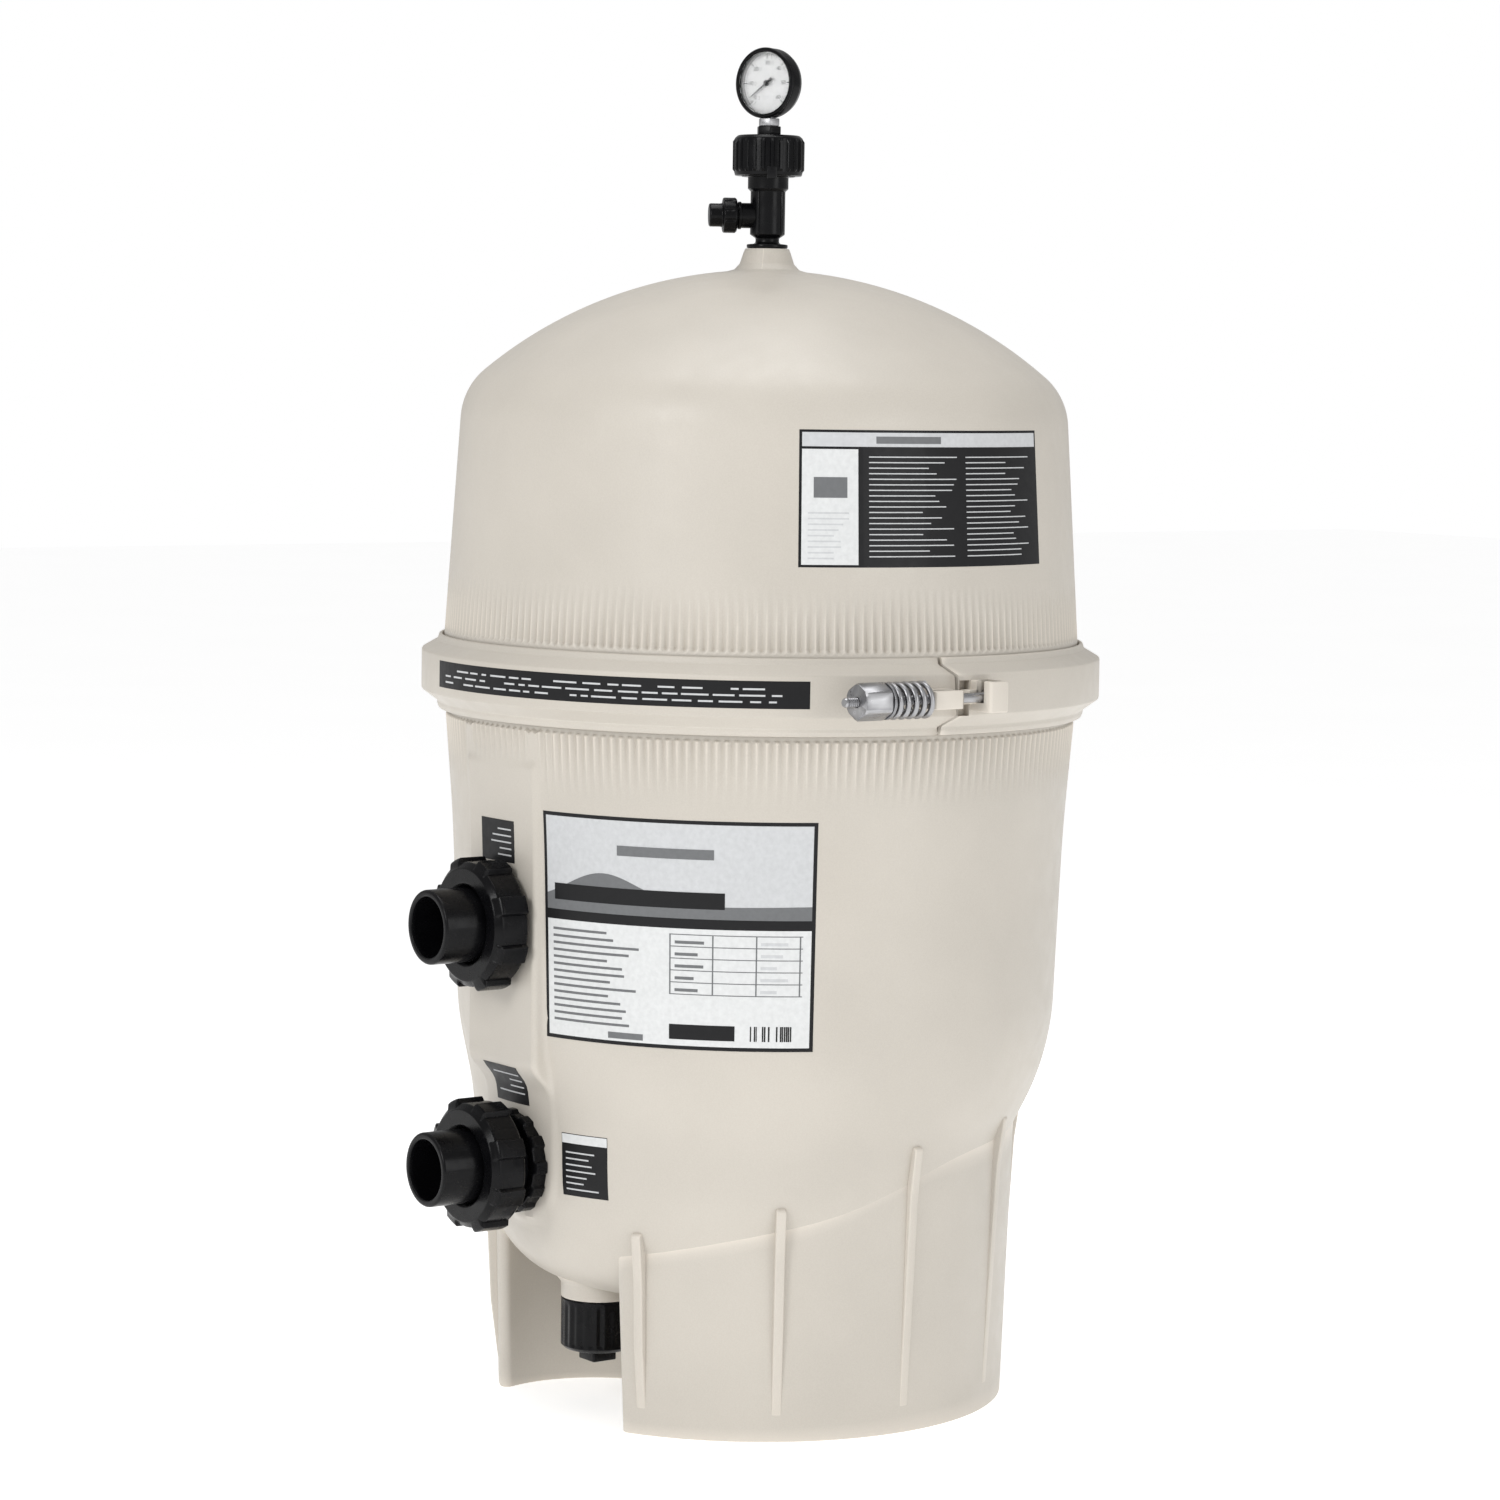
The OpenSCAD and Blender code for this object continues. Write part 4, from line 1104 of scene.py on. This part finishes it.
def gauge():
    """The pressure gauge: its case, bezel, window, dial with its scale, and the pointer."""
    at = gauge_frame()
    r = GAUGE_R
    profile = rounded([(0, -11, 0), (r - 7, -11, 2), (r - 2.5, -8.5, 2.5), (r - 0.3, -3, 2),
                       (r - 0.3, 6.2), (r - 3, 6.2),
                       (r - 3, -7), (0, -7, 0)], 0.8, closed=False)
    turned("gauge_cup", profile, PVC, "relief_stem", ("gauge_case",), at, closed=False)
    profile = rounded([(r - 3.5, 6.8), (r, 6.8, 0.5), (r, 8.2, 1.2), (r - 1.4, 9.2, 1),
                       (r - 2.6, 9.2, 0.8), (r - 3.5, 8.4)], 0.5)
    turned("gauge_rim", profile, PVC, "relief_stem", ("gauge_bezel",), at, 128)
    profile = rounded([(0, 7.2, 0), (r - 3.8, 7.2), (r - 3.8, 8.2), (0, 8.5, 0)], 0.2, closed=False)
    turned("gauge_glass", profile, GLASS, "relief_stem", ("gauge_lens",), at, closed=False)
    profile = rounded([(1.3, 2.6), (r - 3.3, 2.6), (r - 3.3, 3.4), (1.3, 3.4)], 0.15)
    turned("gauge_face", profile, DIAL_WHITE, "relief_stem", ("gauge_dial",), at, 128)
    parts = []
    outer = r - 5.2
    for k in range(61):
        a = math.radians(SCALE_START - SCALE_SWEEP * k / 60)
        long = k % 10 == 0
        inner = outer - (4.0 if long else 2.6 if k % 5 == 0 else 1.6)
        half = 0.32 if long else 0.16
        along, side = np.array([math.cos(a), math.sin(a)]), np.array([-math.sin(a), math.cos(a)])
        corners = [along * inner - side * half, along * outer - side * half, along * outer + side * half,
                   along * inner + side * half]
        points, faces = prism_data([tuple(c) for c in corners], 3.38, 3.55, 0)
        parts.append((points, faces))
    sweep = [math.radians(SCALE_START - SCALE_SWEEP * k / 90) for k in range(91)]
    ring = [[(q * math.cos(a), q * math.sin(a), z) for q, z in ((outer, 3.38), (outer + 0.35, 3.38),
                                                                (outer + 0.35, 3.52),
                                                             (outer, 3.52))] for a in sweep]
    parts.append((np.array(ring).reshape(-1, 3).tolist(),
                  grid_faces(91, 4) + [[0, 1, 2, 3][::-1], [360, 361, 362, 363]]))
    for k in range(7):
        a = math.radians(SCALE_START - SCALE_SWEEP * k / 6)
        parts.append(digits(str(10 * k), 4.6, (outer - 7.4) * math.cos(a), (outer - 7.4) * math.sin(a),
                            3.46, f"number_{k}"))
    piece("gauge_scale", *joined(parts), INK_BLACK, "relief_stem", at=at)
    tip = math.radians(SCALE_START - 10)
    up = (math.cos(tip) * np.array([0, 0, 1]) + math.sin(tip) * np.cross(FACING, [0, 0, 1]))
    at = axes((0, 0, GAUGE_Z), FACING, up)
    outline = [(-6.5, -1.3), (-1, -0.9), (18, -0.25), (20.5, 0), (18, 0.25), (-1, 0.9), (-6.5, 1.3)]
    hub = round_bar(2.5, 4.3, 5.5, None, 32, 0.4)
    piece("pointer_hand", *prism_data(outline, 4.4, 5.0, 0.1, 1), INK_BLACK, "gauge_pointer",
          ("gauge_pointer",), at)
    piece("pointer_hub", *hub, INK_BLACK, "gauge_pointer", at=at)
    socket_low = high("valve_stem")[2] + 0.2
    top = GAUGE_Z - GAUGE_R
    profile = rounded([(0, socket_low - 8, 0), (5.3, socket_low - 8), (5.3, top + 4), (0, top + 4, 0)],
                      0.5, closed=False)
    turned("gauge_stem", profile, ZINC, "relief_stem", ("gauge_socket",), columns=40, closed=False)
    piece("gauge_flats", *prism_data(polygon(6, 9.3), socket_low, top + 0.2, 0.7), ZINC, "relief_stem")


# ---- Inside the tank ----

def cartridge(k):
    """One filter cartridge: pleated media with two bands, and its moulded end caps."""
    prefix = f"cartridge_{k}"
    lo, hi = low(f"{prefix}_caps"), high(f"{prefix}_caps")
    centre = ((lo + hi) / 2)[:2]
    at = axes((*centre, 0), (0, 0, 1), (1, 0, 0))
    r = (hi - lo)[0] / 2
    t = 12.0
    pleats = 96

    def zigzag(theta, rr, z):
        wave = np.abs((theta * pleats / (2 * math.pi)) % 1 - 0.5) * 2
        return -17 * wave * (rr > 60)
    outer = [(r - 3, z) for z in np.linspace(lo[2] + t, hi[2] - t, 14)]
    profile = np.array([(46.4, lo[2] + t)] + outer + [(46.4, hi[2] - t)])
    turned(f"{prefix}_pleats", profile, FABRIC, "tank", (f"{prefix}_media",), at, pleats * 4, zigzag,
           crease=60)
    for end, z0, z1 in (("bottom", lo[2], lo[2] + t), ("top", hi[2] - t, hi[2])):
        sign = 1 if end == "top" else -1
        face = z1 if end == "top" else z0
        step = [(r - 8, face), (r - 10, face - 1.4 * sign), (52, face - 1.4 * sign), (50, face)]
        back = z0 if end == "top" else z1
        corners = [(30.6, back), (r, back), (r, face)] + step + [(30.6, face)]
        turned(f"{prefix}_cap_{end}", rounded(corners, 1.2), CAP_BLUE, "tank",
               (f"{prefix}_caps",) if end == "top" else (), at)
    for n, share in enumerate((0.33, 0.67)):
        z = lo[2] + (hi[2] - lo[2]) * share
        turned(f"{prefix}_band_{n + 1}", rounded([(r - 3.2, z), (r - 2.0, z), (r - 2.0, z + 16),
                                                  (r - 3.2, z + 16)], 0.4),
               CAP_BLUE, "tank", at=at)


def carried_over():
    """CAD nodes whose shape is right keep their mesh and get a finished material."""
    looks = {"black_rubber": RUBBER, "black_pvc": PVC, "zinc_steel": ZINC, "filter_fabric": FABRIC,
             "cartridge_blue": CAP_BLUE, "almond_shell": ALMOND, "dial_white": DIAL_WHITE,
             "gauge_glass": GLASS}
    for part in frame["record"]["subparts"]:
        obj = frame["nodes"][part["node"]]
        if obj.hide_render:
            continue
        obj.data.materials.clear()
        obj.data.materials.append(looks[part["material_slot"]])


# ---- Labels ----

def film_faces(rows, columns):
    """Faces of a thin sheet: a front grid, the same grid behind it, and the edge between them."""
    n = rows * columns
    front = grid_faces(rows, columns, False)
    edge = list(range(columns)) + [columns * (k + 1) - 1 for k in range(1, rows)] \
        + list(range(n - 2, n - columns - 1, -1)) + [columns * k for k in range(rows - 2, 0, -1)]
    sides = [[edge[i - 1], edge[i - 1] + n, edge[i] + n, edge[i]] for i in range(len(edge))]
    return front + [[q + n for q in f[::-1]] for f in front] + sides


class Label:
    """A thin printed film wrapped round the tank. Its blocks are laid on in layers."""

    def __init__(self, radius):
        self.radius = radius
        self.points, self.faces, self.inks = [], [], []
        self.looks = []

    def add(self, turn0, turn1, z0, z1, look, layer, top=None):
        """A block between two angles in degrees and two heights. top(share) may shape its upper edge."""
        if look not in self.looks:
            self.looks.append(look)
        columns = max(2, int(abs(turn1 - turn0) / 0.9) + 2)
        rows = max(2, int((z1 - z0) / 5) + 2)
        share = np.linspace(0, 1, columns)
        a = np.radians(turn0 + (turn1 - turn0) * share)
        upper = z1 if top is None else top(share)
        z = z0 + (upper - z0) * np.linspace(0, 1, rows)[:, None] + 0 * a
        lift = 0.10 + 0.12 * layer
        sheets = []
        for out in (lift, lift - 0.45 if layer == 0 else lift - 0.11):
            r = self.radius(z, a + 0 * z) + out
            sheets.append(np.stack([r * np.cos(a), r * np.sin(a), z], -1).reshape(-1, 3))
        base = len(self.points)
        faces = film_faces(rows, columns)
        self.points.extend(np.vstack(sheets).tolist())
        self.faces.extend([[q + base for q in f] for f in faces])
        self.inks.extend([self.looks.index(look)] * len(faces))

    def lines(self, turn0, turn1, z0, z1, pitch, thick, look, layer, rng, shortest=0.55):
        """Rows of generic bars in place of print."""
        z = z1 - pitch
        while z > z0:
            end = turn0 + (turn1 - turn0) * rng.uniform(shortest, 1.0)
            self.add(turn0, end, z, z + thick, look, layer)
            z -= pitch

    def made(self, name, body):
        piece(name, self.points, self.faces, None, body, looks=self.looks, face_looks=self.inks,
              crease=30)


def lid_radius(z, _turn):
    return LID_R - LID_SLOPE * (z - CLAMP_HIGH)


def main_label():
    """The large label: a grey panel with a darker wave, over a white one with plain bars."""
    rng = np.random.default_rng(3)
    a0, a1, z0, z1 = 192.4, 244.6, 322.0, 504.0
    film = Label(lambda z, _turn: wall_radius(z))
    film.add(a0, a1, z0, z1, INK_BLACK, 0)
    split = z0 + 0.545 * (z1 - z0)
    film.add(a0 + 0.7, a1 - 0.7, split + 5, z1 - 3, INK_GREY, 1)
    film.add(a0 + 0.7, a1 - 0.7, split + 5, split + 30, INK_DARK, 2,
             top=lambda s: split + 12 + 24 * np.exp(-((s - 0.24) / 0.2) ** 2) + 4 * s)
    film.add(a0 + 0.7, a1 - 0.7, z0 + 3, split - 3, INK_WHITE, 1)
    film.add(a0 + 16, a0 + 34, split + 52, split + 60, INK_DARK, 3)
    film.add(a0 + 2.5, a0 + 36, split + 13, split + 26, INK_BLACK, 3)
    film.lines(a0 + 2, a0 + 22, z0 + 12, split - 6, 5.6, 2.0, INK_DARK, 2, rng)
    film.add(a0 + 14, a0 + 21, z0 + 5, z0 + 10, INK_DARK, 2)
    mid = a0 + 26.0
    for k in range(6):
        film.add(mid, a1 - 2.2, split - 8 - 9.5 * k, split - 7.3 - 9.5 * k, INK_DARK, 2)
    for k in range(4):
        film.add(mid + 7.8 * k, mid + 7.8 * k + 0.25, split - 55.5, split - 7.3, INK_DARK, 2)
    for k in range(5):
        film.add(mid + 1.0, mid + 1.0 + rng.uniform(3.5, 6.0), split - 15 - 9.5 * k,
                 split - 12.6 - 9.5 * k, INK_DARK, 2)
        film.add(mid + 16.5, mid + 16.5 + rng.uniform(2, 5), split - 15 - 9.5 * k, split - 12.6 - 9.5 * k,
                 INK_GREY, 2)
    film.add(mid, mid + 12, z0 + 8, z0 + 20, INK_BLACK, 2)
    step = 0.36
    for k in range(22):
        if rng.random() < 0.62:
            film.add(mid + 14.4 + step * k, mid + 14.4 + step * (k + rng.uniform(0.4, 0.9)), z0 + 8,
                     z0 + 20, INK_BLACK, 2)
    film.made("label_main", "tank")


def lid_label():
    """The lid's label: a grey heading, a white panel on the left, a black one with fine lines."""
    rng = np.random.default_rng(5)
    a0, a1, z0, z1 = 240.2, 293.2, 703.6, 810.3
    film = Label(lid_radius)
    film.add(a0, a1, z0, z1, INK_BLACK, 0)
    film.add(a0 + 0.5, a1 - 0.5, z1 - 13, z1 - 2, INK_GREY, 1)
    film.add(a0 + 14, a0 + 27, z1 - 10.5, z1 - 5, INK_DARK, 2)
    film.add(a0 + 0.5, a0 + 10.6, z0 + 2, z1 - 15, INK_WHITE, 1)
    film.add(a0 + 2.6, a0 + 8.6, z0 + 54, z0 + 70, INK_DARK, 2)
    film.lines(a0 + 1.6, a0 + 9.6, z0 + 6, z0 + 46, 4.4, 1.2, INK_GREY, 2, rng)
    film.lines(a0 + 12.6, a0 + 30.5, z0 + 6, z1 - 17, 4.3, 0.85, INK_GREY, 1, rng)
    film.lines(a0 + 32.5, a1 - 2.0, z0 + 6, z1 - 17, 4.3, 0.85, INK_GREY, 1, rng)
    film.made("label_lid", "lid")


def ring_label():
    """The black strip on the front of the clamp ring, with three rows of fine lines."""
    rng = np.random.default_rng(7)
    film = Label(lambda z, _turn: CLAMP_R + 0 * z)
    film.add(167.0, 241.9, 595.0, 616.5, INK_BLACK, 0)
    for row, z in enumerate((609.4, 604.4, 599.4)):
        a = 170.0
        while a < 239:
            wide = rng.uniform(1.2, 4.5)
            if a + wide < 240 and (row + int(a)) % 5:
                film.add(a, a + wide, z, z + 1.4, INK_GREY, 1)
            a += wide + rng.uniform(0.5, 1.3)
    film.made("label_ring", "clamp_left")


def small_labels():
    """The small black labels: one by each port and one beside the outlet."""
    rng = np.random.default_rng(11)
    y0, y1 = -21.0, 27.0
    for name, z0, z1, rows in (("inlet", 458.0, 492.0, 5), ("outlet", 260.0, 292.0, 4)):
        parts, inks = [], []
        heights = np.linspace(z0, z1, 9)

        def strip(ya, yb, zs, lift, ink):
            zz, yy = np.meshgrid(zs, np.linspace(ya, yb, 7), indexing="ij")
            base = np.stack([0 * zz, yy, zz], -1)
            front = cast(base, np.broadcast_to([-1.0, 0.0, 0.0], base.shape), 0.0) - [lift, 0, 0]
            back = front + [0.5, 0, 0]
            faces = film_faces(*zz.shape)
            parts.append((np.vstack([front.reshape(-1, 3), back.reshape(-1, 3)]), faces))
            inks.extend([ink] * len(faces))
        strip(y0, y1, heights, 0.3, 0)
        for k in range(rows):
            z = z1 - 8 - 5.2 * k
            strip(y0 + 4, y0 + 4 + rng.uniform(16, 38), np.array([z, z + 1.2]), 0.45, 1)
        points, faces = joined(parts)
        piece(f"label_{name}", points, faces, None, "tank", looks=[INK_BLACK, INK_GREY], face_looks=inks)
    a0, a1, z0, z1 = 193.8, 204.6, 192.5, 243.5
    film = Label(bowl_radius)
    film.add(a0, a1, z0, z1, INK_BLACK, 0)
    film.add(a0 + 0.1, a1 - 0.1, z1 - 8, z1 - 0.6, INK_WHITE, 1)
    film.lines(a0 + 1, a1 - 1, z0 + 4, z1 - 11, 5.0, 1.2, INK_GREY, 1, rng, 0.4)
    film.made("label_outlet_side", "tank")


def bowl_radius(z, turn):
    """Distance from the tank's axis to the bowl at height z in the direction turn."""
    base = np.stack([0 * z, 0 * z, z], -1)
    hit = cast(base, np.stack([np.cos(turn), np.sin(turn), 0 * turn], -1), 0.0)
    return np.hypot(hit[..., 0], hit[..., 1])


# ---- Stage ----

WORLD_LIGHT = 0.47
FLOOR_GLOW = 0.55
CAMERA_TURN = math.radians(234)
CAMERA_AWAY = 3632.0
CAMERA_HEIGHT = 866.0
CAMERA_PITCH = math.radians(5.17)
CAMERA_YAW = math.radians(0.12)
CAMERA_ROLL = math.radians(0.91)
CAMERA_LENS = 104.43


def floor():
    """A plain pale floor."""
    mesh = bpy.data.meshes.new("floor")
    size = 14.0
    mesh.from_pydata([(-size, -size, 0), (size, -size, 0), (size, size, 0), (-size, size, 0)], [],
                     [(0, 1, 2, 3)])
    obj = bpy.data.objects.new("floor", mesh)
    bpy.context.scene.collection.objects.link(obj)
    look = Look("stage_floor", None, (0.90, 0.90, 0.90), 0.85)
    look.set("Emission Color", (1, 1, 1, 1))
    look.set("Emission Strength", FLOOR_GLOW)
    mesh.materials.append(look.done(look.tint(0.01, 2.0)))


def light(name, position, target, size, watts):
    """A large soft area light, aimed at a point; lengths in metres."""
    data = bpy.data.lights.new(name, "AREA")
    data.shape = "RECTANGLE"
    data.size, data.size_y = size
    data.energy = watts
    obj = bpy.data.objects.new(name, data)
    obj.location = position
    obj.rotation_mode = "QUATERNION"
    obj.rotation_quaternion = (Vector(target) - Vector(position)).to_track_quat("-Z", "Y")
    bpy.context.scene.collection.objects.link(obj)


def studio():
    """White surroundings that the camera sees at full strength and that light the object softly."""
    world = bpy.data.worlds.new("studio")
    bpy.context.scene.world = world
    world.use_nodes = True
    tree = world.node_tree
    back = tree.nodes["Background"]
    back.inputs["Color"].default_value = (1, 1, 1, 1)
    back.inputs["Strength"].default_value = WORLD_LIGHT
    bright = tree.nodes.new("ShaderNodeBackground")
    bright.inputs["Color"].default_value = (1, 1, 1, 1)
    bright.inputs["Strength"].default_value = 1.0
    choose = tree.nodes.new("ShaderNodeMixShader")
    path = tree.nodes.new("ShaderNodeLightPath")
    tree.links.new(path.outputs["Is Camera Ray"], choose.inputs["Fac"])
    tree.links.new(back.outputs[0], choose.inputs[1])
    tree.links.new(bright.outputs[0], choose.inputs[2])
    tree.links.new(choose.outputs[0], tree.nodes["World Output"].inputs["Surface"])
    bpy.context.scene.view_settings.view_transform = "Standard"


def lights():
    """Key light over the camera's left shoulder, fill on the right and a strip above."""
    right = Vector((-math.sin(CAMERA_TURN), math.cos(CAMERA_TURN), 0)) * -1
    towards = Vector((math.cos(CAMERA_TURN), math.sin(CAMERA_TURN), 0))
    aim = (0, 0, 0.55)
    light("key", towards * 2.6 - right * -1.9 + Vector((0, 0, 1.9)), aim, (0.9, 1.4), 38)
    light("fill", towards * 2.2 + right * -2.4 + Vector((0, 0, 1.2)), aim, (1.4, 1.8), 19)
    light("top", Vector((0, 0, 3.0)), (0, 0, 0.9), (1.6, 1.6), 27)


def camera():
    """The photograph's camera: a long lens, a little above the middle, tipped and rolled slightly."""
    data = bpy.data.cameras.new("camera")
    data.sensor_width = 36
    data.lens = CAMERA_LENS
    data.clip_end = 60
    obj = bpy.data.objects.new("camera", data)
    obj.location = Vector((CAMERA_AWAY * math.cos(CAMERA_TURN), CAMERA_AWAY * math.sin(CAMERA_TURN),
                           CAMERA_HEIGHT)) * MM
    heading = CAMERA_TURN + math.pi + CAMERA_YAW
    forward = Vector((math.cos(heading) * math.cos(CAMERA_PITCH),
                      math.sin(heading) * math.cos(CAMERA_PITCH),
                      -math.sin(CAMERA_PITCH)))
    obj.rotation_mode = "QUATERNION"
    turn = forward.to_track_quat("-Z", "Y").to_matrix() @ Matrix.Rotation(CAMERA_ROLL, 3, "Z")
    obj.rotation_quaternion = turn.to_quaternion()
    bpy.context.scene.collection.objects.link(obj)
    bpy.context.scene.camera = obj


# ---- Assembly ----

tank_vessel()
base_skirt()
drain_spigot()
tank_lid()
clamp_left()
clamp_right()
hinge_pin()
t_bolt()
clamp_spring()
bolt_washer()
barrel_nut()
port_fitting("inlet", INLET_Z, PAD_X)
port_fitting("outlet", OUTLET_Z, OUTLET_PAD_X)
drain_cap()
valve()
gauge()
for number in range(1, 5):
    cartridge(number)
main_label()
lid_label()
ring_label()
small_labels()
carried_over()

floor()
studio()
lights()
camera()
